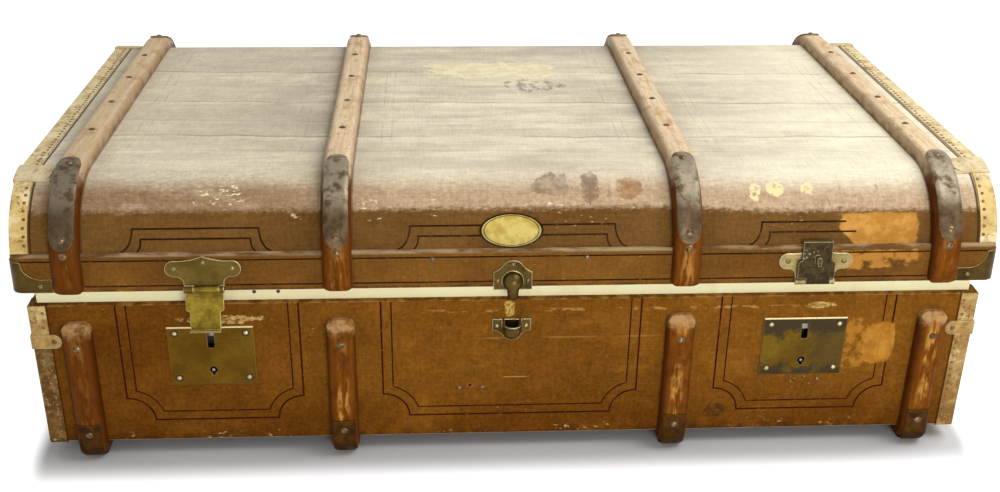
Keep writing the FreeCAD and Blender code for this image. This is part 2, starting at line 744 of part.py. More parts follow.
def corner_caps():
    """Metal caps round the lid's lower corners, low along the front and high at the end."""
    skin = plan_block(CAP, VALANCE_LOW, VALANCE_LOW + CAP_HIGH)
    skin = skin.cut(plan_block(0, VALANCE_LOW, VALANCE_LOW + CAP_HIGH))
    x0 = -VALANCE_X - CAP
    y0 = -VALANCE_Y - CAP
    end_x = -SLAT_OUTER_EDGE - CAP_SLAT_GAP
    corner = skin.common(box(x0, end_x, y0, y0 + CAP_SIDE, 0, BIG))
    bend = x0 + CAP + VALANCE_CORNER_R
    sweep = CAP_HIGH - CAP_LOW
    ease = sweep * (1 - HALF_ROOT)
    away = outline(
        V(bend, y0 - 1, VALANCE_LOW + CAP_HIGH + 1),
        V(bend, y0 - 1, VALANCE_LOW + CAP_HIGH),
        (
            V(bend + ease, y0 - 1, VALANCE_LOW + CAP_LOW + ease),
            V(bend + sweep, y0 - 1, VALANCE_LOW + CAP_LOW),
        ),
        V(end_x + 1, y0 - 1, VALANCE_LOW + CAP_LOW),
        V(end_x + 1, y0 - 1, VALANCE_LOW + CAP_HIGH + 1),
    )
    front = corner.cut(prism(away, Y * (VALANCE_CORNER_R + CAP + 1)))
    back = mirrored_front_to_back(front).common(box(-BIG, BIG, 0, BIG, LID_BASE, BIG))
    left = [front, back]
    add("lid_corner_caps", *left, *[mirrored_left_to_right(c) for c in left])


def hasp_plate(side, x):
    """Plate with two wings and a point, rolled into knuckles at its lower edge."""
    y = -VALANCE_Y
    z = VALANCE_LOW
    stem = HASP_STEM_W / 2
    wing = HASP_WING_W / 2 - HASP_WING_R
    wing_low = z + HASP_WING_RISE - HASP_WING_R
    wing_high = z + HASP_WING_RISE + HASP_WING_R
    neck = (wing - stem) * 0.8
    ease = neck * (1 - HALF_ROOT)

    def right(dx, height):
        return V(x + dx, y, height)

    def left(dx, height):
        return V(x - dx, y, height)

    wire = outline(
        right(stem, HASP_Z),
        right(stem, wing_low - neck),
        (right(stem + ease, wing_low - ease), right(stem + neck, wing_low)),
        right(wing, wing_low),
        (right(wing + HASP_WING_R, z + HASP_WING_RISE), right(wing, wing_high)),
        (right(wing * 0.42, wing_high + 1.2), right(0, z + HASP_RISE)),
        (left(wing * 0.42, wing_high + 1.2), left(wing, wing_high)),
        (left(wing + HASP_WING_R, z + HASP_WING_RISE), left(wing, wing_low)),
        left(stem + neck, wing_low),
        (left(stem + ease, wing_low - ease), left(stem, wing_low - neck)),
        left(stem, HASP_Z),
    )
    plate = prism(wire, -Y * HASP_PLATE)
    gap_left = x - stem + HASP_KNUCKLE_LEFT
    gap_right = x + stem - HASP_KNUCKLE_RIGHT
    roll = rod(HASP_KNUCKLE_R, V(x - stem, HASP_Y, HASP_Z), V(x + stem, HASP_Y, HASP_Z))
    room = rod(
        HASP_KNUCKLE_R + 2 * SIDE_CLEAR, V(gap_left, HASP_Y, HASP_Z), V(gap_right, HASP_Y, HASP_Z)
    )
    pin = rod(HASP_PIN_R, V(x - stem, HASP_Y, HASP_Z), V(x + stem, HASP_Y, HASP_Z))
    add("hasp_plate_" + side, joined(plate, roll).cut(room).cut(pin))
    face = y - HASP_PLATE
    spots = [(-wing, HASP_WING_RISE), (wing, HASP_WING_RISE), (0, HASP_RISE - 2 * RIVET_R - 2)]
    return pin, [dome(V(x + dx, face, z + dz), -Y, RIVET_R, RIVET_H) for dx, dz in spots]


def hasp_tongue(side, x, degrees):
    """Tongue hanging from the hasp pin, then swung out by degrees."""
    stem = HASP_STEM_W / 2
    knuckle_left = x - stem + HASP_KNUCKLE_LEFT + SIDE_CLEAR
    knuckle_right = x + stem - HASP_KNUCKLE_RIGHT - SIDE_CLEAR
    start = V(knuckle_left, HASP_Y, HASP_Z)
    end = V(knuckle_right, HASP_Y, HASP_Z)
    back = HASP_Y + HASP_KNUCKLE_R
    front = back - TONGUE_T
    clear = HASP_Z - HASP_KNUCKLE_R - 2 * SIDE_CLEAR
    low = HASP_Z - TONGUE_L
    wide = TONGUE_W / 2
    slim = TONGUE_END_W / 2
    step = HASP_Z - TONGUE_STEP
    web = box(knuckle_left, knuckle_right, front, back, clear - 1, HASP_Z)
    taper = wide - slim
    ease = wide - taper * (1 - HALF_ROOT)
    ease_z = step - taper * HALF_ROOT
    leaf = outline(
        V(x - wide, front, clear),
        V(x - wide, front, step),
        (V(x - ease, front, ease_z), V(x - slim, front, step - taper)),
        V(x - slim, front, low),
        V(x + slim, front, low),
        V(x + slim, front, step - taper),
        (V(x + ease, front, ease_z), V(x + wide, front, step)),
        V(x + wide, front, clear),
    )
    lip = box(x - slim, x + slim, front - LIP, back, low, low + TONGUE_T)
    lip = lip.makeFillet(TONGUE_T * 0.9, [e for e in lip.Edges if runs_along_x(e) and is_low(e, back, low)])

    # The staple reaches through the lock slot and has an eye for the bolt
    eye_mid = SLOT_MID + SLOT_H / 2 - BOLT_H / 2 - BOLT_CLEAR - GUIDE
    eye = BOLT_H / 2 + BOLT_CLEAR
    bolt_y = PLATE_BACK_Y + BOLT_CLEAR
    tip = bolt_y + BOLT_T + BOLT_CLEAR + STAPLE_WALL
    half = STAPLE_H / 2
    staple = box(x - STAPLE_T / 2, x + STAPLE_T / 2, back, tip, eye_mid - half, eye_mid + half)
    hole = box(
        x - STAPLE_T, x + STAPLE_T, bolt_y - BOLT_CLEAR, tip - STAPLE_WALL, eye_mid - eye, eye_mid + eye,
    )
    tongue = joined(rod(HASP_KNUCKLE_R, start, end), web, prism(leaf, Y * TONGUE_T), lip, staple.cut(hole))
    tongue = tongue.cut(rod(HASP_PIN_R + RUN_CLEAR, start - X, end + X))
    tongue.rotate(V(x, HASP_Y, HASP_Z), X, -degrees)
    add("hasp_tongue_" + side, tongue)


def runs_along_x(edge):
    return edge.BoundBox.YLength + edge.BoundBox.ZLength < 0.01


def is_low(edge, back, low):
    return abs(edge.BoundBox.ZMin - low) < 0.01 and abs(edge.BoundBox.YMin - back) < 0.01


def dowel_peg():
    """Bell-shaped plate with a domed bulge and a peg that drops into the cup."""
    y = -VALANCE_Y
    face = y - HASP_PLATE
    z = VALANCE_LOW
    w = DOWEL_PLATE_W / 2
    low = z - DOWEL_PLATE_LOW
    shoulder = z + DOWEL_PLATE_SHOULDER
    crown_z = z + DOWEL_PLATE_RISE - DOWEL_CROWN_R
    flare = DOWEL_CROWN_R * HALF_ROOT
    wire = outline(
        V(-w, y, low),
        V(-w, y, shoulder),
        (V((-w - flare) / 2, y, (shoulder + crown_z + flare) / 2 - 1.5), V(-flare, y, crown_z + flare)),
        (V(0, y, z + DOWEL_PLATE_RISE), V(flare, y, crown_z + flare)),
        (V((w + flare) / 2, y, (shoulder + crown_z + flare) / 2 - 1.5), V(w, y, shoulder)),
        V(w, y, low),
    )
    plate = prism(wire, -Y * HASP_PLATE)
    bulge_z = z + DOWEL_BULGE_RISE
    ball = Part.makeSphere(DOWEL_BULGE_R, V(0, y - DOWEL_BULGE_OUT, bulge_z))
    tip = z - PEG_DROP
    peg = Part.makeCone(PEG_R, PEG_ROOT_R, bulge_z - tip, V(0, peg_axis_y(), tip), Z)
    peg = peg.makeFillet(PEG_R * 0.4, [e for e in peg.Edges if e.BoundBox.ZMax < tip + 0.01])
    bulge = joined(ball, peg).common(box(-BIG, BIG, -BIG, y, 0, BIG))
    add("dowel_peg", joined(plate, bulge))
    side_x = (w + DOWEL_BULGE_R) / 2
    top_z = z + DOWEL_PLATE_RISE - RIVET_R - 2
    spots = [(-side_x, bulge_z), (side_x, bulge_z), (0, top_z)]
    return [dome(V(dx, face, dz), -Y, RIVET_R * 0.8, RIVET_H) for dx, dz in spots]


def hinges():
    """Three butt hinges: outer knuckles on the body leaf, the middle one on the lid leaf."""
    body_leaves = []
    lid_leaves = []
    pins = []
    third = HINGE_W / 3
    radius = HINGE_KNUCKLE_R
    for mid in (-HINGE_X, 0, HINGE_X):
        x0 = mid - HINGE_W / 2
        x1 = mid + HINGE_W / 2
        ends = [(x0, x0 + third), (x1 - third, x1)]
        pin = rod(HINGE_PIN_R, V(x0, HINGE_Y, HINGE_Z), V(x1, HINGE_Y, HINGE_Z))
        pins.append(pin)

        leaf_top = HINGE_Z - radius - HINGE_CLEAR
        leaf = box(x0, x1, BODY_Y, BODY_Y + HINGE_LEAF, HINGE_Z - HINGE_LEAF_H, leaf_top)
        for a, b in ends:
            curl = rod(radius, V(a, HINGE_Y, HINGE_Z), V(b, HINGE_Y, HINGE_Z))
            web = box(a, b, BODY_Y, HINGE_Y, leaf_top - 1, HINGE_Z - SEAM)
            leaf = joined(leaf, curl, web)
        body_leaves.append(leaf.cut(pin))

        a = x0 + third + SIDE_CLEAR
        b = x1 - third - SIDE_CLEAR
        start = V(a, HINGE_Y, HINGE_Z)
        end = V(b, HINGE_Y, HINGE_Z)
        face = VALANCE_Y
        rise = HINGE_Z + radius + HINGE_CLEAR
        wing = box(x0, x1, face, face + HINGE_LEAF, rise, HINGE_Z + HINGE_LEAF_H)
        neck = box(a, b, face, face + HINGE_LEAF, HINGE_Z, rise + 1)
        leaf = joined(wing, neck, rod(radius, start, end))
        lid_leaves.append(leaf.cut(rod(HINGE_PIN_R + RUN_CLEAR, start - X, end + X)))
    add("hinge_body_leaves", *body_leaves)
    add("hinge_pins", *pins)
    add("hinge_lid_leaves", *lid_leaves)


def handles():
    """Bowed leather straps on the ends, each held flat under two metal loops."""
    z = BODY_TOP - HANDLE_GAP
    x0 = -BODY_X
    radius = (HANDLE_HALF ** 2 + HANDLE_BOW ** 2) / (4 * HANDLE_BOW)
    quarter_y = HANDLE_HALF / 2
    dip = radius - math.sqrt(radius ** 2 - (quarter_y / 2) ** 2)
    end = HANDLE_HALF + HANDLE_TAIL

    def bend(sign):
        """From the flat tail to the top of the bow, on one side."""
        foot = V(x0, sign * HANDLE_HALF, z)
        mid = V(x0 - HANDLE_BOW / 2, sign * quarter_y, z)
        top = V(x0 - HANDLE_BOW, 0, z)
        first = Part.Arc(foot, V(x0 - dip, sign * (HANDLE_HALF - quarter_y / 2), z), mid)
        second = Part.Arc(mid, V(x0 - HANDLE_BOW + dip, sign * quarter_y / 2, z), top)
        return first, second

    front_in, front_out = bend(-1)
    back_in, back_out = bend(1)
    runs = [
        Part.LineSegment(V(x0, -end, z), V(x0, -HANDLE_HALF, z)),
        front_in,
        front_out,
        back_out,
        back_in,
        Part.LineSegment(V(x0, HANDLE_HALF, z), V(x0, end, z)),
    ]
    path = Part.Wire(Part.__sortEdges__([run.toShape() for run in runs]))
    w = HANDLE_W / 2
    r = min(HANDLE_ROUND, HANDLE_T * 0.45)
    k = r * (1 - HALF_ROOT)
    section = outline(
        V(x0, -end, z - w),
        V(x0 - HANDLE_T + r, -end, z - w),
        (V(x0 - HANDLE_T + k, -end, z - w + k), V(x0 - HANDLE_T, -end, z - w + r)),
        V(x0 - HANDLE_T, -end, z + w - r),
        (V(x0 - HANDLE_T + k, -end, z + w - k), V(x0 - HANDLE_T + r, -end, z + w)),
        V(x0, -end, z + w),
    )
    strap = path.makePipeShell([section], True, False)
    add("handle_strap_left", strap)
    add("handle_strap_right", mirrored_left_to_right(strap))

    # Loop: flanges on the panel, a bridge over the strap
    room_x = x0 - HANDLE_T
    room = w
    loop_y = -HANDLE_HALF - LOOP_L
    arch = outline(
        V(x0, loop_y, z - room - LOOP_T - LOOP_FLANGE),
        V(x0 - LOOP_T, loop_y, z - room - LOOP_T - LOOP_FLANGE),
        V(x0 - LOOP_T, loop_y, z - room - LOOP_T),
        V(room_x - LOOP_T, loop_y, z - room),
        V(room_x - LOOP_T, loop_y, z + room),
        V(x0 - LOOP_T, loop_y, z + room + LOOP_T),
        V(x0 - LOOP_T, loop_y, z + room + LOOP_T + LOOP_FLANGE),
        V(x0, loop_y, z + room + LOOP_T + LOOP_FLANGE),
    )
    loop = prism(arch, Y * LOOP_L).cut(strap)
    left = [loop, mirrored_front_to_back(loop)]
    add("handle_loops", *left, *[mirrored_left_to_right(c) for c in left])


def open_lid(names):
    """Turns the lid's nodes from shut to their ajar rest about the back hinges."""
    for name in names:
        parts[name].rotate(V(0, HINGE_Y, HINGE_Z), X, -LID_AJAR_DEG)


body_panels()
collar()
body_slats()
body_binding()
body_rivets = lock("left", -LOCK_X, False) + lock("right", LOCK_X, True) + dowel_cup()
add("body_rivets", *body_rivets)
hinges()
handles()
body_names = set(parts) - {"hinge_lid_leaves"}

lid_case()
band = valance_ring()
valance(band)
lid_slats(band)
lid_binding()
corner_caps()
left_pin, left_heads = hasp_plate("left", -LOCK_X)
right_pin, right_heads = hasp_plate("right", LOCK_X)
add("hasp_pins", left_pin, right_pin)
hasp_tongue("left", -LOCK_X, HASP_LEFT_DEG)
hasp_tongue("right", LOCK_X, HASP_RIGHT_DEG)
add("lid_rivets", *(left_heads + right_heads + dowel_peg()))
open_lid(set(parts) - body_names)

os.makedirs("parts", exist_ok=True)
for name, shape in parts.items():
    shape.exportStep("parts/" + name + ".step")
print(len(parts), "nodes")
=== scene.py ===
import math
import random

import bmesh
import bpy
from mathutils import Matrix, Vector


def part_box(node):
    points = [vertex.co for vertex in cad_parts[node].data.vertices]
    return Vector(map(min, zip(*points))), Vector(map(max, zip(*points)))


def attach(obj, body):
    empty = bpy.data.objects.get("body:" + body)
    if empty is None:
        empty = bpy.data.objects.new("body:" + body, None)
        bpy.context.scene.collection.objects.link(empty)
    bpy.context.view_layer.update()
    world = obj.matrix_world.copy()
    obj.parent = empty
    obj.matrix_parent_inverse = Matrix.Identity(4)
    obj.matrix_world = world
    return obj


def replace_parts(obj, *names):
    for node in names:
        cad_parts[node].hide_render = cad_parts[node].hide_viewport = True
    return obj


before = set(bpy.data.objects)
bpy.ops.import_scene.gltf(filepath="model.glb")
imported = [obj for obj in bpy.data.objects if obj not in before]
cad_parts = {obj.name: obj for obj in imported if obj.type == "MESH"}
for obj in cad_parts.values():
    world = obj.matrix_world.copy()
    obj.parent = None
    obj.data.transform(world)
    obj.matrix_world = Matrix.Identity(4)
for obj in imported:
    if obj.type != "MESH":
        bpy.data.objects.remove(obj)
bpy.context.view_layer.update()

# Sizes of the trunk in metres, as the solids have them
BODY_X, BODY_Y = 0.498, 0.299
GROUND, BODY_TOP = 0.016, 0.188
LID_X, LID_TOP = 0.506, 0.2795
SHOULDER_Y, SHOULDER_Z, SHOULDER_R = 0.2256, 0.2045, 0.075
VALANCE_X, VALANCE_Y, VALANCE_LOW = 0.510, 0.3046, 0.1725
SLAT_OUTER, SLAT_INNER, SLAT_HALF = 0.452, 0.180, 0.015
LOCK_X, LOCK_Z, LOCK_LIP = 0.316, 0.1255, 0.1606
LOCK_RIVET_X, LOCK_RIVET_Z = 0.037, 0.0275
BINDING, CLIP, CAP = 0.0012, 0.0015, 0.0012
BODY_TAB_Z, BODY_TAB_HALF = 0.146, 0.010
# The lid's tabs lie round the shoulder, in degrees from the front: middle and reach
LID_TAB_TURN, LID_TAB_REACH = 78, 12.5
HINGE = Vector((0, 0.3066, 0.1885))
AJAR = math.radians(3.2)
HANDLE_Z, HANDLE_HALF, HANDLE_TAIL = 0.116, 0.075, 0.034
HANDLE_BOW, HANDLE_W = 0.014, 0.026

# From the shut lid, in which its pieces are laid out, to the lid as it stands ajar
TO_AJAR = (
    Matrix.Translation(HINGE) @ Matrix.Rotation(-AJAR, 4, "X") @ Matrix.Translation(-HINGE)
)
dice = random.Random(11)


def tone(red, green, blue):
    """A colour as seen on screen, 0 to 255, in Blender's linear numbers."""

    def linear(c):
        c /= 255
        return c / 12.92 if c <= 0.04045 else ((c + 0.055) / 1.055) ** 2.4

    return (linear(red), linear(green), linear(blue), 1)


class Bench:
    """Puts nodes into one tree and joins them."""

    def __init__(self, tree):
        self.tree = tree

    def feed(self, socket, value):
        if isinstance(value, bpy.types.NodeSocket):
            self.tree.links.new(value, socket)
        else:
            socket.default_value = value

    def put(self, kind, ins=None, **settings):
        node = self.tree.nodes.new("ShaderNode" + kind)
        for key, value in settings.items():
            setattr(node, key, value)
        for key, value in (ins or {}).items():
            self.feed(node.inputs[key], value)
        return node

    def calc(self, operation, *values):
        return self.put("Math", dict(enumerate(values)), operation=operation).outputs[0]

    def vector(self, operation, *values, out=0):
        return self.put("VectorMath", dict(enumerate(values)), operation=operation).outputs[out]

    def split(self, place):
        return self.put("SeparateXYZ", {0: place}).outputs

    def ease(self, value, low, high):
        """0 at low, 1 at high, smooth between."""
        ins = {"Value": value, "From Min": low, "From Max": high}
        return self.put("MapRange", ins, interpolation_type="SMOOTHSTEP").outputs[0]

    def scale(self, value, low, high):
        """Stretches a 0 to 1 value to run from low to high."""
        return self.put("MapRange", {"Value": value, "To Min": low, "To Max": high}).outputs[0]

    def noise(self, place, scale, detail=3.0, rough=0.55):
        ins = {"Vector": place, "Scale": scale, "Detail": detail, "Roughness": rough}
        return self.put("TexNoise", ins).outputs[0]

    def over(self, under, mask, colour):
        """Lays a colour over another where the mask is."""
        node = self.put("Mix", data_type="RGBA")
        self.feed(node.inputs[0], mask)
        self.feed(node.inputs[6], under)
        self.feed(node.inputs[7], colour)
        return node.outputs[2]

    def lay(self, under, mask, share, shown):
        """Lays a share of a colour, given as seen on screen, over another where the mask is."""
        return self.over(under, self.part(mask, share), tone(*shown))

    def shade(self, colour, amount):
        """Multiplies a colour by a value."""
        node = self.put("Mix", data_type="RGBA", blend_type="MULTIPLY")
        self.feed(node.inputs[0], 1.0)
        self.feed(node.inputs[6], colour)
        self.feed(node.inputs[7], amount)
        return node.outputs[2]

    def both(self, first, second):
        return self.calc("MULTIPLY", first, second)

    def either(self, first, *others):
        for other in others:
            first = self.calc("MAXIMUM", first, other)
        return first

    def part(self, mask, share):
        return self.calc("MULTIPLY", mask, share)

    def line(self, value, at, half):
        """1 close to one value, and 0 further off than half."""
        off = self.calc("ABSOLUTE", self.calc("SUBTRACT", value, at))
        return self.ease(off, half, half * 0.4)

    def between(self, value, low, high, soft):
        rise = self.ease(value, low - soft, low + soft)
        return self.both(rise, self.ease(value, high + soft, high - soft))

    def group(self, name, **ins):
        node = self.put("Group", node_tree=bpy.data.node_groups[name])
        for key, value in ins.items():
            self.feed(node.inputs[key.replace("_", " ")], value)
        return node.outputs

    def cloudy(self, place, size, low, high, stretch=(1, 1, 1)):
        return self.group("cloudy", Place=place, Size=size, Low=low, High=high, Stretch=stretch)[0]

    def patch(self, place, centre, reach, ragged=0.25, square=0.0):
        ins = dict(Place=place, Centre=centre, Reach=reach, Ragged=ragged, Square=square)
        return self.group("patch", **ins)[0]

    def chips(self, place, size, amount, stretch=(1, 1, 1)):
        return self.group("chips", Place=place, Size=size, Amount=amount, Stretch=stretch)[0]


SOCKETS = {"F": "NodeSocketFloat", "V": "NodeSocketVector"}
PLACE, STRETCH = {"Place": ("V", (0, 0, 0))}, {"Stretch": ("V", (1, 1, 1))}
# How far the noise of threads, of wood and of scores is squeezed along each axis
SLUBS = ((520, 40, 40), (40, 520, 40), (40, 40, 520))
GRAIN_BEND, GRAIN_STREAK, GRAIN_FINE = (40, 6, 6), (300, 11, 11), (1300, 45, 45)
SCORES, SCORE_TURNS = (18, 700, 700), (0.5, -0.9)
# Bare cloth beside the right lock, whole and broken: centre and reach
BARE_WHOLE = (0.3995, -0.3, 0.1275), (0.0175, 0.05, 0.026)
BARE_BROKEN = (0.3665, -0.3, 0.126), (0.022, 0.05, 0.031)


def new_group(name, takes, gives):
    """A shader node group with named sockets: its bench, its inputs by name, its way out."""
    tree = bpy.data.node_groups.new(name, "ShaderNodeTree")
    for socket, (kind, value) in takes.items():
        made = tree.interface.new_socket(socket, in_out="INPUT", socket_type=SOCKETS[kind])
        made.default_value = value
    for socket, kind in gives.items():
        tree.interface.new_socket(socket, in_out="OUTPUT", socket_type=SOCKETS[kind])
    bench = Bench(tree)
    way_in = tree.nodes.new("NodeGroupInput")
    way_out = tree.nodes.new("NodeGroupOutput")
    return bench, way_in.outputs, way_out.inputs


def group_cloudy():
    """Soft-edged stains: Size of the stains, and where between Low and High they begin."""
    takes = PLACE | {"Size": ("F", 0.05), "Low": ("F", 0.4), "High": ("F", 0.6)} | STRETCH
    b, ins, outs = new_group("cloudy", takes, {"Mask": "F"})
    place = b.vector("MULTIPLY", ins["Place"], ins["Stretch"])
    stain = b.noise(place, b.calc("DIVIDE", 1.0, ins["Size"]), 4.0, 0.6)
    b.feed(outs["Mask"], b.ease(stain, ins["Low"], ins["High"]))


def group_patch():
    """One worn place with ragged edges, round or square."""
    takes = PLACE | {
        "Centre": ("V", (0, 0, 0)), "Reach": ("V", (1, 1, 1)),
        "Ragged": ("F", 0.25), "Square": ("F", 0.0),
    }
    b, ins, outs = new_group("patch", takes, {"Mask": "F"})
    off = b.vector("SUBTRACT", ins["Place"], ins["Centre"])
    away = b.vector("ABSOLUTE", b.vector("DIVIDE", off, ins["Reach"]))
    x, y, z = b.split(away)
    square = b.either(x, y, z)
    node = b.put("Mix", data_type="FLOAT")
    b.feed(node.inputs[0], ins["Square"])
    b.feed(node.inputs[2], b.vector("LENGTH", away, out=1))
    b.feed(node.inputs[3], square)
    coarse = b.noise(ins["Place"], 70.0, 6.0, 0.7)
    waver = b.calc("SUBTRACT", coarse, 0.5)
    far = b.calc("MULTIPLY_ADD", waver, b.part(ins["Ragged"], 4.0), node.outputs[0])
    b.feed(outs["Mask"], b.ease(far, 1.04, 0.94))


def group_chips():
    """Small scuffs in drifts: the larger Amount is, the more of them."""
    takes = PLACE | {"Size": ("F", 0.003), "Amount": ("F", 0.3)} | STRETCH
    b, ins, outs = new_group("chips", takes, {"Mask": "F"})
    place = b.vector("MULTIPLY", ins["Place"], ins["Stretch"])
    fine = b.noise(place, b.calc("DIVIDE", 1.0, ins["Size"]), 2.5, 0.6)
    start = b.calc("SUBTRACT", 0.74, b.part(ins["Amount"], 0.3))
    crisp = b.ease(fine, start, b.calc("ADD", start, 0.04))
    drift = b.noise(ins["Place"], 16.0, 3.0, 0.6)
    edge = b.calc("SUBTRACT", 0.64, b.part(ins["Amount"], 0.3))
    b.feed(outs["Mask"], b.both(crisp, b.ease(drift, edge, b.calc("ADD", edge, 0.1))))


def group_weave():
    """Plain canvas threads crossing, on faces that look any way."""
    takes = PLACE | {"Pitch": ("F", 0.0012)}
    b, ins, outs = new_group("weave", takes, {"Height": "F", "Thread": "F"})
    turns = b.calc("DIVIDE", 2 * math.pi, ins["Pitch"])
    wobble = b.noise(ins["Place"], 90.0, 2.0)
    waves, slubs = [], []
    for axis in b.split(ins["Place"]):
        waves.append(b.calc("SINE", b.calc("MULTIPLY_ADD", axis, turns, b.part(wobble, 5.0))))
    for fine in SLUBS:
        slubs.append(b.noise(b.vector("MULTIPLY", ins["Place"], fine), 1.0, 2.0))
    total = b.calc("ADD", b.calc("ADD", waves[0], waves[1]), waves[2])
    b.feed(outs["Height"], b.calc("MULTIPLY_ADD", total, 0.166, 0.5))
    slub = b.calc("ADD", b.calc("ADD", slubs[0], slubs[1]), slubs[2])
    b.feed(outs["Thread"], b.part(slub, 0.3333))


def group_grain():
    """Wood that runs lengthwise along a slat, fine across its width."""
    b, ins, outs = new_group("grain", PLACE, {"Streak": "F", "Fine": "F", "Height": "F"})
    bent = b.noise(b.vector("MULTIPLY", ins["Place"], GRAIN_BEND), 1.0, 2.0)
    drift = b.vector("ADD", ins["Place"], b.put("CombineXYZ", {0: b.part(bent, 0.012)}).outputs[0])
    streak = b.noise(b.vector("MULTIPLY", drift, GRAIN_STREAK), 1.0, 4.0, 0.65)
    fine = b.noise(b.vector("MULTIPLY", drift, GRAIN_FINE), 1.0, 3.0, 0.6)
    b.feed(outs["Streak"], b.ease(streak, 0.3, 0.7))
    b.feed(outs["Fine"], b.ease(fine, 0.35, 0.7))
    b.feed(outs["Height"], b.calc("MULTIPLY_ADD", streak, 0.5, b.part(fine, 0.5)))


def group_tarnish():
    """Dull, spotted old metal: where it is dark, and its pits."""
    takes = PLACE | {"Size": ("F", 0.02), "Amount": ("F", 0.5)}
    b, ins, outs = new_group("tarnish", takes, {"Mask": "F", "Spots": "F", "Height": "F"})
    wide = b.noise(ins["Place"], b.calc("DIVIDE", 1.0, ins["Size"]), 5.0, 0.62)
    edge = b.calc("SUBTRACT", 0.75, b.part(ins["Amount"], 0.5))
    b.feed(outs["Mask"], b.ease(wide, b.calc("SUBTRACT", edge, 0.2), b.calc("ADD", edge, 0.2)))
    spots = b.noise(ins["Place"], 420.0, 3.0, 0.6)
    b.feed(outs["Spots"], b.ease(spots, 0.6, 0.7))
    pits = b.noise(ins["Place"], 900.0, 2.0)
    b.feed(outs["Height"], b.calc("MULTIPLY_ADD", wide, 0.7, b.part(pits, 0.3)))


def group_scratches():
    """Fine scores in two slanting ways."""
    takes = PLACE | {"Amount": ("F", 0.3)}
    b, ins, outs = new_group("scratches", takes, {"Mask": "F"})
    marks = []
    for turn in SCORE_TURNS:
        spin = {"Vector": ins["Place"], "Rotation": (turn, turn * 0.6, turn)}
        spun = b.put("Mapping", spin).outputs[0]
        marks.append(b.noise(b.vector("MULTIPLY", spun, SCORES), 1.0, 2.0))
    start = b.calc("SUBTRACT", 0.86, b.part(ins["Amount"], 0.3))
    mark = b.either(*marks)
    b.feed(outs["Mask"], b.ease(mark, start, b.calc("ADD", start, 0.05)))


def group_edge_wear_and_highlight():
    """Edges as far in as Reach, for wear and painted highlight, and the normal of a rounded edge.
    """
    takes = PLACE | {"Reach": ("F", 0.001)}
    b, ins, outs = new_group("edge_wear_and_highlight", takes, {"Mask": "F", "Normal": "V"})
    rounded = b.put("Bevel", {"Radius": ins["Reach"]}, samples=6).outputs[0]
    face = b.put("NewGeometry").outputs["True Normal"]
    turned = b.vector("DOT_PRODUCT", rounded, face, out=1)
    broken = b.scale(b.noise(ins["Place"], 160.0, 3.0, 0.6), 0.5, 1.5)
    b.feed(outs["Mask"], b.part(b.ease(turned, 0.985, 0.86), broken))
    b.feed(outs["Normal"], rounded)


def group_shut_lid():
    """Where a point of the lid is when the lid is shut, with the top level."""
    b, ins, outs = new_group("shut_lid", PLACE, {"Place": "V"})
    back = HINGE - Matrix.Rotation(AJAR, 3, "X") @ HINGE
    spun = b.put("Mapping", {"Vector": ins["Place"], "Rotation": (AJAR, 0, 0), "Location": back})
    b.feed(outs["Place"], spun.outputs[0])


def group_slat_cross():
    """How far across its slat a point is: 0 in the middle, 1 at the edges."""
    b, ins, outs = new_group("slat_cross", PLACE, {"Cross": "F"})
    x = b.calc("ABSOLUTE", b.split(ins["Place"])[0])
    outer = b.calc("ABSOLUTE", b.calc("SUBTRACT", x, SLAT_OUTER))
    inner = b.calc("ABSOLUTE", b.calc("SUBTRACT", x, SLAT_INNER))
    near = b.calc("MINIMUM", outer, inner)
    b.feed(outs["Cross"], b.calc("DIVIDE", near, SLAT_HALF))


def group_bare_front():
    """Bare ground cloth on the body's front, right of the right lock: whole and broken."""
    b, ins, outs = new_group("bare_front", PLACE, {"Whole": "F", "Broken": "F"})
    b.feed(outs["Whole"], b.patch(ins["Place"], *BARE_WHOLE, 0.16, 0.55))
    broken = b.patch(ins["Place"], *BARE_BROKEN, 0.3, 0.6)
    b.feed(outs["Broken"], b.both(broken, b.cloudy(ins["Place"], 0.011, 0.4, 0.6)))


for make in (
    group_cloudy, group_patch, group_chips, group_weave, group_grain, group_tarnish,
    group_scratches, group_edge_wear_and_highlight, group_shut_lid, group_slat_cross, group_bare_front,
):
    make()


def new_finish(name, on_lid=False):
    """An empty material, its bench and the place on the piece, level also on the lid."""
    material = bpy.data.materials.new(name)
    material.use_nodes = True
    material.node_tree.nodes.clear()
    b = Bench(material.node_tree)
    place = b.put("TexCoord").outputs["Object"]
    if on_lid:
        place = b.group("shut_lid", Place=place)[0]
    return material, b, place


def coat(b, colour, rough, height, deep=0.0003, strength=0.5, normal=None, **plain):
    """The one shader of a finish. Plain values go straight onto its own sockets."""
    bump = b.put("Bump", {"Height": height, "Strength": strength, "Distance": deep})
    if normal:
        b.feed(bump.inputs["Normal"], normal)
    ins = {"Base Color": colour, "Roughness": rough, "Normal": bump.outputs[0]}
    for key, value in plain.items():
        ins[key.replace("_", " ")] = value
    shader = b.put("BsdfPrincipled", ins)
    out = b.put("OutputMaterial", {"Surface": shader.outputs[0]})
    out.is_active_output = True


# Canvas: pitch of its threads, how they and the fine grain darken and lighten it, and its skin
CANVAS_PITCH, COLLAR_PITCH, LINING_STRIPE = 0.0016, 0.0009, 0.018
LID_THREAD, LID_GRAIN = (0.45, 1.52), (0.45, 1.55)
BODY_THREAD, BODY_GRAIN = (0.4, 1.56), (0.4, 1.6)
SKIN, SKIN_END, SHOULDER_SKIN_END, RIM_SKIN = 0.001, 0.0015, 0.0016, 0.0004
# Where the edging lies against the canvas, and a painted shadow line runs along it
BODY_EDGE_SHADOW_X, LID_EDGE_SHADOW_X, EDGE_SHADOW_HALF = 0.4806, 0.4872, 0.0016


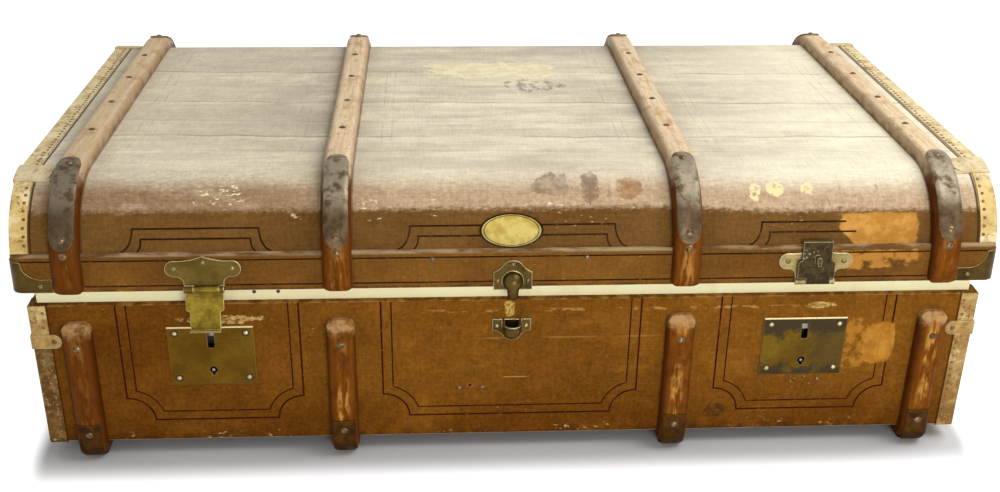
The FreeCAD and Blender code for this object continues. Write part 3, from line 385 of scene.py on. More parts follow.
def lining(b, place, colour, inside):
    """Buff paper on the inner faces, foxed and rubbed."""
    paper = b.over(tone(206, 186, 146), b.cloudy(place, 0.16, 0.4, 0.7), tone(188, 164, 121))
    paper = b.lay(paper, b.chips(place, 0.006, 0.42), 0.6, (140, 104, 62))
    stripe = b.calc("SINE", b.part(b.split(place)[0], 2 * math.pi / LINING_STRIPE))
    paper = b.lay(paper, b.ease(stripe, 0.82, 0.9), 0.3, (150, 110, 74))
    return b.over(colour, inside, paper)


def edge_shadow_line(b, x, at):
    """A painted shadow line where another piece lies against the canvas on both ends."""
    return b.line(b.calc("ABSOLUTE", x), at, EDGE_SHADOW_HALF)


def inner_side(b, value, face, deep=SKIN_END):
    """1 further in than the outer skin of a panel whose face is given."""
    return b.ease(value, face - SKIN, face - deep)


def threaded(b, place, weave, colour, thread, grain):
    """Canvas darker and lighter thread by thread, and by its fine grain."""
    colour = b.shade(colour, b.scale(weave["Thread"], *thread))
    return b.shade(colour, b.scale(b.noise(place, 240.0, 4.0, 0.7), *grain))


# Worn places on the body's front, each with its centre and reach
FOOT_KNOCK = (0.2255, -0.3, 0.043), (0.011, 0.05, 0.011)
HOLE_RIM = (-0.0438, -0.3, 0.0819), (0.0042, 0.05, 0.0032)
HOLE = (-0.0438, -0.3, 0.0819), (0.0018, 0.05, 0.0016)
RIGHT_SMEAR = (0.33, -0.3, 0.1755), (0.017, 0.05, 0.004)
LEFT_SMEAR = (-0.303, -0.3, 0.1685), (0.042, 0.05, 0.0052)
PEG_RUB = (-0.0025, -0.3, 0.1775), (0.0058, 0.05, 0.0095)
# Level marks on the body's front
LID_RUB_Z, FAINT_RUB_Z, DRAG_Z = 0.1748, 0.1408, 0.0918


def body_canvas():
    m, b, place = new_finish("body_canvas")
    x, y, z = b.split(place)
    weave = b.group("weave", Place=place, Pitch=CANVAS_PITCH)
    colour = b.over(tone(131, 83, 21), b.cloudy(place, 0.12, 0.34, 0.66), tone(116, 71, 16))
    colour = b.lay(colour, b.cloudy(place, 0.03, 0.5, 0.72, (0.4, 1, 2.2)), 0.4, (150, 98, 34))
    # Painted shade: the front darker towards the left, in clouds
    left = b.both(b.ease(x, -0.12, -0.42), b.cloudy(place, 0.09, 0.25, 0.6))
    colour = b.lay(colour, left, 0.8, (98, 53, 7))
    low = b.both(b.ease(z, 0.11, 0.025), b.cloudy(place, 0.08, 0.2, 0.6))
    colour = b.lay(colour, low, 0.85, (96, 52, 5))
    colour = threaded(b, place, weave, colour, BODY_THREAD, BODY_GRAIN)
    colour = b.shade(colour, b.scale(b.noise(place, 60.0, 3.0, 0.6), 0.75, 1.25))
    # Ground dirt along the bottom and dark knocks near the feet
    dirt = b.both(b.ease(z, 0.031, 0.016), b.cloudy(place, 0.02, 0.4, 0.62))
    colour = b.lay(colour, dirt, 0.75, (50, 30, 12))
    knock = b.patch(place, *FOOT_KNOCK, 0.5)
    knock = b.both(knock, b.cloudy(place, 0.006, 0.35, 0.6))
    colour = b.lay(colour, knock, 0.75, (58, 36, 14))
    colour = b.lay(colour, b.patch(place, *HOLE_RIM, 0.3), 0.7, (150, 86, 36))
    # The hole itself is a dark disc of painted shade
    colour = b.over(colour, b.patch(place, *HOLE, 0.1), tone(40, 22, 10))
    # Bare ground cloth where a paper has come away
    bare = b.group("bare_front", Place=place)
    ground = b.over(tone(192, 134, 52), b.cloudy(place, 0.014, 0.36, 0.62), tone(166, 109, 36))
    colour = b.lay(colour, bare["Broken"], 0.8, (182, 124, 46))
    colour = b.over(colour, bare["Whole"], b.shade(ground, b.scale(weave["Thread"], 0.7, 1.3)))
    # Rubbed by the closed lid and by the dowel, and drag marks
    fleck = b.cloudy(place, 0.0055, 0.5, 0.6, (0.45, 1, 1))
    rub = b.both(b.both(b.line(z, LID_RUB_Z, 0.0026), b.between(x, -0.1, 0.3, 0.05)), fleck)
    smear = b.either(b.patch(place, *RIGHT_SMEAR, 0.4), b.patch(place, *LEFT_SMEAR, 0.5))
    smear = b.both(smear, b.cloudy(place, 0.0024, 0.34, 0.66, (0.6, 1, 0.9)))
    faint = b.both(b.line(z, FAINT_RUB_Z, 0.0016), b.cloudy(place, 0.02, 0.42, 0.6, (0.5, 1, 2)))
    faint = b.both(faint, b.between(x, -0.05, 0.16, 0.03))
    drag = b.both(b.line(z, DRAG_Z, 0.001), b.between(x, -0.008, 0.017, 0.003))
    rim = b.both(b.ease(z, 0.1862, 0.188), b.cloudy(place, 0.012, 0.42, 0.6))
    marks = b.either(b.part(rub, 0.5), b.part(faint, 0.25), b.part(rim, 0.45), b.part(drag, 0.55))
    colour = b.over(colour, marks, tone(206, 158, 82))
    colour = b.lay(colour, smear, 0.7, (232, 200, 122))
    peg_rub = b.patch(place, *PEG_RUB, 0.5)
    peg_rub = b.both(peg_rub, b.cloudy(place, 0.0022, 0.34, 0.6, (1.2, 1, 0.6)))
    colour = b.lay(colour, peg_rub, 0.85, (226, 186, 92))
    # Scuffs, thick along the lower edge
    colour = b.lay(colour, b.chips(place, 0.0024, 0.2, (0.5, 1, 1)), 0.7, (210, 168, 98))
    kicked = b.both(b.chips(place, 0.0045, 0.46, (0.7, 1, 1.3)), b.ease(z, 0.036, 0.02))
    colour = b.lay(colour, kicked, 0.8, (222, 186, 126))
    scores = b.group("scratches", Place=place, Amount=0.4)[0]
    colour = b.lay(colour, scores, 0.4, (190, 140, 66))
    # Painted shadow along the edging
    colour = b.lay(colour, edge_shadow_line(b, x, BODY_EDGE_SHADOW_X), 0.6, (58, 34, 10))
    inside_x = inner_side(b, b.calc("ABSOLUTE", x), BODY_X)
    inside_y = inner_side(b, b.calc("ABSOLUTE", y), BODY_Y)
    inside = b.both(b.both(inside_x, inside_y), b.ease(z, GROUND + SKIN, GROUND + SKIN_END))
    inside = b.both(inside, b.ease(z, BODY_TOP - RIM_SKIN, BODY_TOP - SKIN))
    colour = lining(b, place, colour, inside)
    rough = b.scale(b.cloudy(place, 0.05, 0.3, 0.7), 0.6, 0.78)
    height = b.calc("MULTIPLY_ADD", b.noise(place, 26.0, 3.0), 1.6, weave["Height"])
    coat(b, colour, rough, height, deep=0.0005, strength=0.5, Specular_IOR_Level=0.04)
    return m


# Seams between the boards under the top, each a painted shade line with a painted highlight
# in front: place from front to back, and how plain each shows
BOARD_SEAMS = (
    (0.107, 0.45), (-0.018, 0.45), (-0.142, 0.5), (0.046, 0.16), (-0.09, 0.2), (-0.19, 0.2),
)
# Faint painted lines on the top, by their distance from the middle
TOP_LINES = (0.1375, 0.1267, 0.223, 0.2338, 0.411, 0.4002)
# Marks on the top, each with its centre and reach
TOP_PAPER = (-0.004, 0.118, LID_TOP), (0.083, 0.034, 0.05)
PAPER_FOOT = (-0.004, 0.07, LID_TOP), (0.078, 0.022, 0.05)
DAMP_MARK = (0.044, 0.052, LID_TOP), (0.04, 0.026, 0.05)


def faded_top(b, place, x, y, weave):
    """Colour of the sun-bleached top; the boards show through in painted shade and highlight."""
    wide = b.cloudy(place, 0.22, 0.36, 0.64, (0.7, 1, 1))
    pale = b.over(tone(236, 225, 199), wide, tone(208, 197, 174))
    cream = b.cloudy(place, 0.07, 0.42, 0.7, (0.4, 1.2, 1.2))
    pale = b.lay(pale, cream, 0.5, (246, 236, 204))
    band = b.cloudy(place, 0.035, 0.42, 0.62, (0.12, 1, 1))
    pale = b.lay(pale, band, 0.45, (196, 184, 162))
    back = b.both(b.ease(y, 0.0, 0.26), b.cloudy(place, 0.09, 0.3, 0.6))
    pale = b.lay(pale, back, 0.45, (186, 175, 156))
    grey = b.cloudy(place, 0.03, 0.48, 0.72, (0.4, 1.2, 1.2))
    pale = b.lay(pale, grey, 0.4, (188, 175, 152))
    # Greyer beside the slats, most of all before the second one, where it is painted shadow
    beside = b.ease(b.group("slat_cross", Place=place)[0], 3.2, 1.0)
    beside = b.both(beside, b.cloudy(place, 0.05, 0.34, 0.6))
    pale = b.lay(pale, beside, 0.4, (170, 158, 138))
    # Painted shadow of the second slat, on its left
    dull = b.both(b.between(x, -0.262, -0.19, 0.04), b.between(y, -0.15, 0.14, 0.07))
    dull = b.both(dull, b.cloudy(place, 0.05, 0.26, 0.6))
    pale = b.lay(pale, dull, 0.5, (164, 152, 133))
    # Painted light: the top lighter towards the right, and lifted a little at the far left
    pale = b.lay(pale, b.ease(x, 0.2, 0.4), 0.45, (253, 245, 215))
    pale = b.lay(pale, b.ease(x, -0.22, -0.34), 0.24, (244, 230, 202))
    slant = b.calc("MULTIPLY_ADD", x, 0.03, y)
    wave = b.part(b.noise(b.vector("MULTIPLY", place, (11, 3, 3)), 1.0, 3.0), 0.022)
    run = b.calc("SUBTRACT", b.calc("ADD", slant, wave), 0.011)
    broken = b.scale(b.cloudy(place, 0.05, 0.38, 0.6, (0.5, 1, 1)), 0.15, 1.0)
    # Each seam a dark line of painted shade, with a painted highlight on the ridge just in front
    for at, weight in BOARD_SEAMS:
        seam_shade = b.both(b.line(run, at, 0.0028), broken)
        pale = b.lay(pale, seam_shade, weight, (128, 112, 90))
        ridge_highlight = b.both(b.line(run, at - 0.0065, 0.007), broken)
        pale = b.lay(pale, ridge_highlight, weight * 0.8, (247, 239, 214))
    aside = b.calc("ABSOLUTE", x)
    faint = b.either(*(b.line(aside, at, 0.0012) for at in TOP_LINES))
    faint = b.both(b.both(faint, b.ease(y, -0.21, -0.15)), b.cloudy(place, 0.03, 0.4, 0.6))
    pale = b.lay(pale, faint, 0.2, (112, 98, 84))
    pale = b.shade(pale, b.scale(weave["Thread"], 0.6, 1.38))
    pale = b.shade(pale, b.scale(b.noise(place, 330.0, 3.0, 0.7), 0.87, 1.12))
    # Remains of a pasted paper, and damp marks
    paper = b.patch(place, *TOP_PAPER, 0.3, 0.85)
    torn = b.cloudy(place, 0.035, 0.34, 0.46, (0.5, 1.6, 1))
    glue = b.over(tone(249, 238, 198), b.cloudy(place, 0.02, 0.4, 0.62), tone(234, 218, 176))
    pale = b.over(pale, b.part(b.both(paper, torn), 0.95), glue)
    foot = b.patch(place, *PAPER_FOOT, 0.35, 0.5)
    foot = b.both(foot, b.cloudy(place, 0.03, 0.4, 0.6, (0.4, 1.4, 1)))
    pale = b.lay(pale, foot, 0.5, (240, 226, 184))
    damp = b.patch(place, *DAMP_MARK, 0.35)
    damp = b.both(damp, b.cloudy(place, 0.014, 0.44, 0.62, (1.6, 0.7, 1)))
    return b.lay(pale, damp, 0.7, (132, 128, 120))


# Worn places on the front shoulder: across, up, half width and half height
SHOULDER_SCUFFS = (
    (-0.313, 0.2630, 0.036, 0.008), (-0.288, 0.2665, 0.032, 0.012), (-0.272, 0.2302, 0.013, 0.012),
    (-0.222, 0.2525, 0.012, 0.012), (-0.150, 0.2560, 0.012, 0.004), (-0.059, 0.2602, 0.024, 0.008),
    (0.047, 0.2545, 0.024, 0.004),
)
SHOULDER_BLOTCHES = (
    (0.2535, 0.2620, 0.006, 0.007), (0.2750, 0.2640, 0.008, 0.006),
    (0.3100, 0.2640, 0.006, 0.0045),
)
SHOULDER_STAINS = (
    (0.042, 0.2685, 0.022, 0.008, (122, 104, 84)), (0.0815, 0.2675, 0.011, 0.011, (112, 86, 62)),
    (0.121, 0.2660, 0.014, 0.008, (150, 102, 58)),
)
SHOULDER_FRONT, SHOULDER_DEEP = -0.276, 0.06
# From the brown foot of the lid's canvas to its dust, and from its dust to the bleached top
DUST_FROM, DUST_TO, BLEACH_FROM, BLEACH_TO = 0.2485, 0.2555, 0.2635, 0.281
# The bare patch at the right front: centre and reach, and where its left side slants
LID_BARE = (0.3815, -0.296, 0.226), (0.0415, 0.03, 0.0185)
SLANT_X, SLANT_Z = 0.341, 0.242


def on_front_shoulder(b, place, spot, ragged):
    """One worn place on the front shoulder."""
    across, up, half_width, half_height = spot[:4]
    reach = (half_width, SHOULDER_DEEP, half_height)
    return b.patch(place, (across, SHOULDER_FRONT, up), reach, ragged)


def lid_canvas():
    m, b, place = new_finish("lid_canvas", on_lid=True)
    x, y, z = b.split(place)
    weave = b.group("weave", Place=place, Pitch=CANVAS_PITCH)
    colour = b.over(tone(116, 81, 38), b.cloudy(place, 0.09, 0.36, 0.66), tone(102, 69, 31))
    # From the brown foot over the dusty shoulder to the bleached top
    ragged = b.noise(b.vector("MULTIPLY", place, (0.5, 1, 1)), 260.0, 5.0, 0.75)
    ragged = b.part(b.calc("SUBTRACT", ragged, 0.5), 0.016)
    level = b.calc("ADD", b.calc("ADD", z, ragged), b.part(b.ease(x, 0.12, 0.3), 0.005))
    # Painted shade: the dust darker towards the left, where the bleached top also begins a little
    # higher
    left_shade = b.ease(x, -0.08, -0.3)
    dust = b.lay(tone(188, 160, 128), left_shade, 0.85, (146, 116, 86))
    dust = b.lay(dust, b.cloudy(place, 0.02, 0.45, 0.66, (0.6, 1, 1)), 0.4, (208, 186, 154))
    colour = b.over(colour, b.part(b.ease(level, DUST_FROM, DUST_TO), 0.93), dust)
    high = b.calc("MULTIPLY_ADD", left_shade, -0.0015, level)
    bleached = b.ease(high, BLEACH_FROM, BLEACH_TO)
    colour = threaded(b, place, weave, colour, LID_THREAD, LID_GRAIN)
    colour = b.over(colour, bleached, faded_top(b, place, x, y, weave))
    for spot in SHOULDER_STAINS:
        stain = on_front_shoulder(b, place, spot, 0.4)
        stain = b.both(stain, b.scale(b.cloudy(place, 0.012, 0.36, 0.6), 0.35, 1.0))
        colour = b.lay(colour, stain, 0.7, spot[4])
    # Bare patch at the right front, slanting at its left
    slope = b.calc("ADD", b.calc("SUBTRACT", x, SLANT_X), b.calc("SUBTRACT", z, SLANT_Z))
    bare = b.patch(place, *LID_BARE, 0.1, 0.9)
    bare = b.both(bare, b.ease(b.calc("SUBTRACT", slope, b.part(ragged, 0.5)), -0.014, -0.012))
    ground = b.over(tone(200, 147, 71), b.cloudy(place, 0.014, 0.36, 0.62), tone(176, 121, 50))
    colour = b.over(colour, bare, b.shade(ground, b.scale(weave["Thread"], 0.75, 1.25)))
    # Knocks on the shoulders
    shoulder = b.both(b.ease(z, 0.222, 0.244), b.ease(z, 0.278, 0.264))
    speck = b.chips(place, 0.0034, 0.5, (0.5, 1, 1.2))
    for spot in SHOULDER_SCUFFS:
        scuff = b.both(on_front_shoulder(b, place, spot, 0.3), speck)
        colour = b.lay(colour, scuff, 0.9, (240, 222, 178))
    for spot in SHOULDER_BLOTCHES:
        blotch = b.both(on_front_shoulder(b, place, spot, 0.7), b.cloudy(place, 0.006, 0.36, 0.5))
        colour = b.lay(colour, blotch, 0.9, (240, 218, 160))
    knocks = b.both(b.chips(place, 0.003, 0.3, (0.4, 1, 1.2)), shoulder)
    colour = b.lay(colour, knocks, 0.75, (232, 212, 174))
    dark_knocks = b.both(b.chips(b.vector("ADD", place, (0.7, 0.3, 0.2)), 0.008, 0.5), shoulder)
    colour = b.lay(colour, dark_knocks, 0.35, (112, 80, 52))
    scores = b.group("scratches", Place=place, Amount=0.38)[0]
    colour = b.lay(colour, scores, 0.25, (226, 208, 176))
    # Painted shadow along both edges of every slat
    crease_and_shade = b.line(b.group("slat_cross", Place=place)[0], 1.04, 0.09)
    colour = b.lay(colour, crease_and_shade, 0.55, (72, 54, 34))
    # Painted shadow along the edging
    colour = b.lay(colour, edge_shadow_line(b, x, LID_EDGE_SHADOW_X), 0.9, (62, 46, 28))
    front_y = b.calc("MAXIMUM", b.calc("SUBTRACT", b.calc("ABSOLUTE", y), SHOULDER_Y), 0.0)
    up_z = b.calc("MAXIMUM", b.calc("SUBTRACT", z, SHOULDER_Z), 0.0)
    skin = b.calc("SQRT", b.calc("ADD", b.both(front_y, front_y), b.both(up_z, up_z)))
    inside = inner_side(b, skin, SHOULDER_R, SHOULDER_SKIN_END)
    inside = b.both(inside, inner_side(b, b.calc("ABSOLUTE", x), LID_X))
    colour = lining(b, place, colour, inside)
    rough = b.scale(b.cloudy(place, 0.05, 0.3, 0.7), 0.6, 0.78)
    dent = b.noise(b.vector("MULTIPLY", place, (0.5, 1.4, 1.4)), 24.0, 3.0)
    height = b.calc("MULTIPLY_ADD", dent, 2.0, weave["Height"])
    coat(b, colour, rough, height, deep=0.0005, strength=0.5, Specular_IOR_Level=0.04)
    return m


# The bare place on the lid's band: centre and reach
BAND_BARE = (0.3725, -0.305, 0.1985), (0.05, 0.03, 0.0105)
LEDGE_RISE, LEDGE_FALL, BAND_FOOT = (0.2095, 0.2125), (0.216, 0.2145), (0.1765, 0.1735)


def valance_canvas(name, on_end):
    """Canvas of the lid's band and of its two ends, which are lined inside."""
    m, b, place = new_finish(name, on_lid=True)
    x, _, z = b.split(place)
    weave = b.group("weave", Place=place, Pitch=CANVAS_PITCH)
    colour = b.over(tone(126, 83, 29), b.cloudy(place, 0.08, 0.36, 0.64), tone(110, 71, 25))
    dull = b.cloudy(place, 0.05, 0.48, 0.7, (0.5, 1, 2))
    colour = b.lay(colour, dull, 0.5, (94, 61, 24))
    colour = threaded(b, place, weave, colour, LID_THREAD, LID_GRAIN)
    bare = b.patch(place, *BAND_BARE, 0.35, 0.7)
    bare = b.both(bare, b.cloudy(place, 0.012, 0.4, 0.56))
    colour = b.lay(colour, bare, 0.8, (196, 136, 58))
    # The ledge: painted shade along it, with pale streaks that are partly wear and partly painted
    # highlight
    ledge = b.both(b.ease(z, *LEDGE_RISE), b.ease(z, *LEDGE_FALL))
    colour = b.lay(colour, ledge, 0.85, (98, 70, 40))
    wear_and_highlight = b.both(ledge, b.cloudy(place, 0.012, 0.34, 0.58, (0.25, 1, 1)))
    colour = b.lay(colour, wear_and_highlight, 0.55, (194, 167, 128))
    foot = b.both(b.ease(z, *BAND_FOOT), b.cloudy(place, 0.02, 0.4, 0.56))
    colour = b.lay(colour, foot, 0.8, (82, 54, 26))
    colour = b.lay(colour, b.chips(place, 0.003, 0.26, (0.4, 1, 1.2)), 0.7, (206, 172, 118))
    if on_end:
        colour = lining(b, place, colour, inner_side(b, b.calc("ABSOLUTE", x), LID_X))
    rough = b.scale(b.cloudy(place, 0.05, 0.3, 0.7), 0.55, 0.75)
    height = b.calc("MULTIPLY_ADD", b.noise(place, 40.0, 3.0), 1.4, weave["Height"])
    coat(b, colour, rough, height, deep=0.0005, strength=0.45, Specular_IOR_Level=0.05)
    return m


def collar_cloth():
    m, b, place = new_finish("collar_cloth")
    weave = b.group("weave", Place=place, Pitch=COLLAR_PITCH)
    colour = b.over(tone(255, 250, 200), b.cloudy(place, 0.2, 0.4, 0.66), tone(252, 240, 190))
    colour = b.lay(colour, b.cloudy(place, 0.03, 0.55, 0.75, (1, 1, 0.5)), 0.3, (232, 208, 156))
    colour = b.lay(colour, b.chips(place, 0.002, 0.3), 0.6, (160, 126, 80))
    rough = b.scale(weave["Thread"], 0.72, 0.9)
    coat(b, colour, rough, weave["Height"], deep=0.0003, strength=0.35, Specular_IOR_Level=0.2)
    return m


# Heights between which a lid slat bleaches and the upper tip of a body slat pales
SLAT_BLEACH, SLAT_TIP = (0.274, 0.294), (0.1565, 0.1695)


def slat_wood(name, on_lid):
    """Varnished ash: rubbed along the crown, and bleached where it lies on the lid's top."""
    m, b, place = new_finish(name, on_lid)
    x, _, z = b.split(place)
    grain = b.group("grain", Place=place)
    cross = b.group("slat_cross", Place=place)[0]
    colour = b.over(tone(144, 82, 9), grain["Streak"], tone(106, 55, 2))
    # Painted shade: darker towards the left
    colour = b.lay(colour, b.ease(x, 0.0, -0.5), 0.65, (86, 40, 0))
    colour = b.lay(colour, grain["Fine"], 0.45, (92, 47, 4))
    colour = b.lay(colour, b.cloudy(place, 0.05, 0.42, 0.66, (1, 1, 0.5)), 0.6, (104, 54, 6))
    edge = b.ease(cross, 0.62, 1.0)
    colour = b.lay(colour, b.cloudy(place, 0.013, 0.46, 0.64, (1.6, 0.7, 0.7)), 0.5, (74, 34, 2))
    colour = b.lay(colour, edge, 0.75, (74, 36, 6))
    flakes = b.cloudy(place, 0.014, 0.46, 0.6, (2.6, 0.55, 0.55))
    rubbed = b.both(b.both(b.ease(cross, 0.62, 0.2), flakes), b.cloudy(place, 0.04, 0.38, 0.6))
    rubbed = b.both(rubbed, b.scale(b.ease(x, -0.48, -0.2), 0.25, 1.0))
    colour = b.lay(colour, rubbed, 0.55 if on_lid else 0.8, (206, 146, 66))
    if on_lid:
        uneven = b.calc("ADD", z, b.part(b.cloudy(place, 0.02, 0.3, 0.7), 0.01))
        bleached = b.ease(uneven, *SLAT_BLEACH)
        grey = b.over(tone(242, 217, 178), grain["Streak"], tone(212, 181, 139))
        grey = b.lay(grey, b.cloudy(place, 0.03, 0.46, 0.62, (2, 0.5, 1)), 0.6, (230, 213, 178))
        grey = b.lay(grey, b.cloudy(place, 0.024, 0.52, 0.66, (1.4, 0.8, 1)), 0.6, (182, 136, 92))
        grey = b.lay(grey, grain["Fine"], 0.3, (176, 142, 106))
        # Painted shade: darker towards the left
        grey = b.lay(grey, b.ease(x, -0.3, -0.42), 0.35, (176, 146, 102))
        grey = b.lay(grey, edge, 0.6, (146, 118, 88))
        colour = b.over(colour, bleached, grey)
    else:
        fade = b.calc("MULTIPLY_ADD", b.cloudy(place, 0.012, 0.3, 0.7), 0.008, z)
        tip = b.ease(fade, *SLAT_TIP)
        tip = b.both(tip, b.scale(b.cloudy(place, 0.008, 0.34, 0.58), 0.3, 1.0))
        colour = b.lay(colour, tip, 0.85, (188, 148, 96))
    knocks = b.chips(place, 0.004, 0.36, (1.5, 0.6, 0.6))
    colour = b.lay(colour, knocks, 0.7, (62, 34, 12))
    rough = b.scale(b.cloudy(place, 0.03, 0.35, 0.65), 0.4, 0.64)
    coat(b, colour, rough, grain["Height"], deep=0.0005, strength=0.4, Specular_IOR_Level=0.06)
    return m


# Heights between which the upper ends of the lid's straps pale
STRAP_PALE = (0.285, 0.304)


def iron(name, bright, dark, rubbed, pale_ends=False):
    """Iron strip that has gone brown, rubbed along its edges."""
    m, b, place = new_finish(name)
    old = b.group("tarnish", Place=place, Size=0.011, Amount=0.5)
    wear_and_highlight = b.group("edge_wear_and_highlight", Place=place, Reach=0.0012)
    colour = b.over(tone(*bright), old["Mask"], tone(*dark))
    if pale_ends:
        x, _, z = b.split(place)
        ends = b.both(b.ease(z, *STRAP_PALE), b.cloudy(place, 0.012, 0.34, 0.56))
        colour = b.lay(colour, ends, 0.55, (172, 160, 138))
        # Painted shade: darker towards the left
        colour = b.lay(colour, b.ease(x, -0.3, -0.42), 0.4, (70, 54, 38))
    bright_scores = b.group("scratches", Place=place, Amount=0.44)[0]
    colour = b.lay(colour, bright_scores, 0.4, rubbed)
    colour = b.lay(colour, old["Spots"], 0.6, (56, 42, 28))
    colour = b.lay(colour, wear_and_highlight["Mask"], 0.5, rubbed)
    rough = b.scale(old["Mask"], 0.42, 0.6)
    coat(
        b, colour, rough, old["Height"],
        deep=0.0004, strength=0.35, normal=wear_and_highlight["Normal"], Metallic=0.6, Specular_IOR_Level=0.1,
    )
    return m


def small_metal(name, size, amount, bright, dark, rust, rough, flaked=False, **coating):
    """Plain old metal. Its rust, a share and a tone, comes in spots or in larger flakes."""
    m, b, place = new_finish(name)
    old = b.group("tarnish", Place=place, Size=size, Amount=amount)
    colour = b.over(tone(*bright), old["Mask"], tone(*dark))
    rusty = b.chips(place, 0.003, 0.5) if flaked else old["Spots"]
    colour = b.lay(colour, rusty, *rust)
    coat(b, colour, b.scale(old["Mask"], *rough), old["Height"], **coating)
    return m


def tack_heads():
    m, b, place = new_finish("tack_heads")
    old = b.group("tarnish", Place=place, Size=0.006, Amount=0.5)
    colour = b.over(tone(146, 104, 56), old["Mask"], tone(96, 62, 30))
    coat(
        b, colour, b.scale(old["Spots"], 0.4, 0.6), old["Height"],
        deep=0.0001, strength=0.3, Metallic=0.5,
    )
    return m


def bound_edge(name, on_lid):
    """Pale edging, yellowed and handled, dirtiest low down and on the left."""
    m, b, place = new_finish(name, on_lid)
    x, _, z = b.split(place)
    colour = b.over(tone(226, 200, 138), b.cloudy(place, 0.05, 0.4, 0.64), tone(208, 178, 112))
    colour = b.lay(colour, b.cloudy(place, 0.014, 0.5, 0.66), 0.6, (176, 138, 76))
    if on_lid:
        colour = b.lay(colour, b.ease(x, 0.1, -0.1), 0.5, (220, 186, 104))
        colour = b.lay(colour, b.ease(z, 0.262, 0.279), 0.6, (232, 216, 176))
        colour = b.lay(colour, b.cloudy(place, 0.02, 0.46, 0.62), 0.6, (172, 144, 94))
        skin = b.cloudy(b.vector("ADD", place, (0.2, 0.5, 0.1)), 0.024, 0.5, 0.64)
        colour = b.lay(colour, skin, 0.6, (248, 236, 190))
    else:
        colour = b.lay(colour, b.cloudy(place, 0.016, 0.3, 0.6), 0.75, (146, 104, 48))
        dirt = b.both(b.ease(z, 0.16, 0.03), b.cloudy(place, 0.03, 0.3, 0.6))
        colour = b.lay(colour, dirt, 0.85, (122, 82, 30))
        grimy = b.both(b.ease(x, 0.1, -0.1), b.ease(z, 0.162, 0.128))
        colour = b.lay(colour, b.both(grimy, b.cloudy(place, 0.009, 0.22, 0.6)), 0.9, (84, 54, 14))
    colour = b.lay(colour, b.chips(place, 0.0045, 0.56), 0.75, (130, 90, 44))
    bright = b.chips(b.vector("ADD", place, (0.4, 0.1, 0.7)), 0.004, 0.5)
    colour = b.lay(colour, bright, 0.6 if on_lid else 0.35, (246, 230, 180))
    wear_and_highlight = b.group("edge_wear_and_highlight", Place=place, Reach=0.0012)
    colour = b.lay(colour, wear_and_highlight["Mask"], 0.4, (120, 84, 44))
    rough = b.scale(b.cloudy(place, 0.02, 0.3, 0.7), 0.5, 0.72)
    height = b.noise(place, 200.0, 4.0)
    coat(
        b, colour, rough, height,
        deep=0.0008, strength=0.55, normal=wear_and_highlight["Normal"], Specular_IOR_Level=0.1,
    )
    return m


def tab_leather(name, on_lid, pale, dark):
    """Tan tabs with a paler rim."""
    m, b, place = new_finish(name, on_lid)
    colour = b.over(tone(*pale), b.cloudy(place, 0.016, 0.4, 0.62), tone(*dark))
    colour = b.lay(colour, b.cloudy(place, 0.006, 0.54, 0.68), 0.5, (140, 106, 60))
    pores = b.put("TexVoronoi", {"Vector": place, "Scale": 900.0}).outputs[0]
    colour = b.lay(colour, b.chips(place, 0.003, 0.36), 0.7, (96, 68, 36))
    wear_and_highlight = b.group("edge_wear_and_highlight", Place=place, Reach=0.0016)
    colour = b.lay(colour, wear_and_highlight["Mask"], 0.7, (234, 214, 168))
    height = b.calc("MULTIPLY_ADD", b.noise(place, 180.0, 3.0), 0.8, b.part(pores, 0.3))
    rough = b.scale(pores, 0.5, 0.7)
    coat(
        b, colour, rough, height,
        deep=0.0004, strength=0.5, normal=wear_and_highlight["Normal"], Specular_IOR_Level=0.12,
    )
    return m


def old_brass(name, bright, dark, rubbed, black=None, lip=None, dull=0.34, nicked=False):
    """Brass gone olive and brown, rubbed along its edges, with a painted highlight on its edges
    and along its upper lip.

    black gives the mask of where it has darkened, lip the height of the lip. dull is how matt the
    brightest of it is, and nicked brass has dark clouds and bright nicks in its blackened part,
    the nicks also standing in for glints as painted highlights.
    """
    m, b, place = new_finish(name)
    old = b.group("tarnish", Place=place, Size=0.035, Amount=0.5)
    apart = b.vector("ADD", place, (0.3, 0.1, 0.2))
    fine = b.group("tarnish", Place=apart, Size=0.006, Amount=0.35)
    wear_and_highlight = b.group("edge_wear_and_highlight", Place=place, Reach=0.0017)
    colour = b.over(tone(*bright), old["Mask"], tone(*dark))
    brushed = b.noise(b.vector("MULTIPLY", place, (30, 30, 900)), 1.0, 3.0)
    colour = b.shade(colour, b.scale(brushed, 0.75, 1.25))
    if black:
        stain = black(b, place)
        colour = b.lay(colour, stain, 0.9, (52, 44, 32))
    if nicked:
        colour = b.lay(colour, b.both(stain, b.cloudy(place, 0.007, 0.44, 0.6)), 0.6, (26, 20, 12))
        # Bright nicks that also stand in for glints: painted highlights
        colour = b.lay(colour, b.both(stain, b.chips(place, 0.0024, 0.52)), 0.6, (172, 160, 128))
    colour = b.lay(colour, fine["Mask"], 0.3, (66, 50, 22))
    colour = b.lay(colour, old["Spots"], 0.5, (48, 36, 18))
    scores = b.group("scratches", Place=place, Amount=0.42)[0]
    colour = b.lay(colour, scores, 0.4, rubbed)
    # Rubbed edges, painted lighter as an edge highlight as well
    colour = b.lay(colour, wear_and_highlight["Mask"], 0.85, rubbed)
    if lip:
        # Painted highlight along the upper lip
        colour = b.lay(colour, b.line(b.split(place)[2], lip, 0.0018), 0.85, (226, 208, 150))
    rough = b.scale(old["Mask"], dull, dull + 0.18)
    coat(
        b, colour, rough, old["Height"],
        deep=0.0004, strength=0.3, normal=wear_and_highlight["Normal"], Metallic=0.75, Specular_IOR_Level=0.05,
    )
    return m


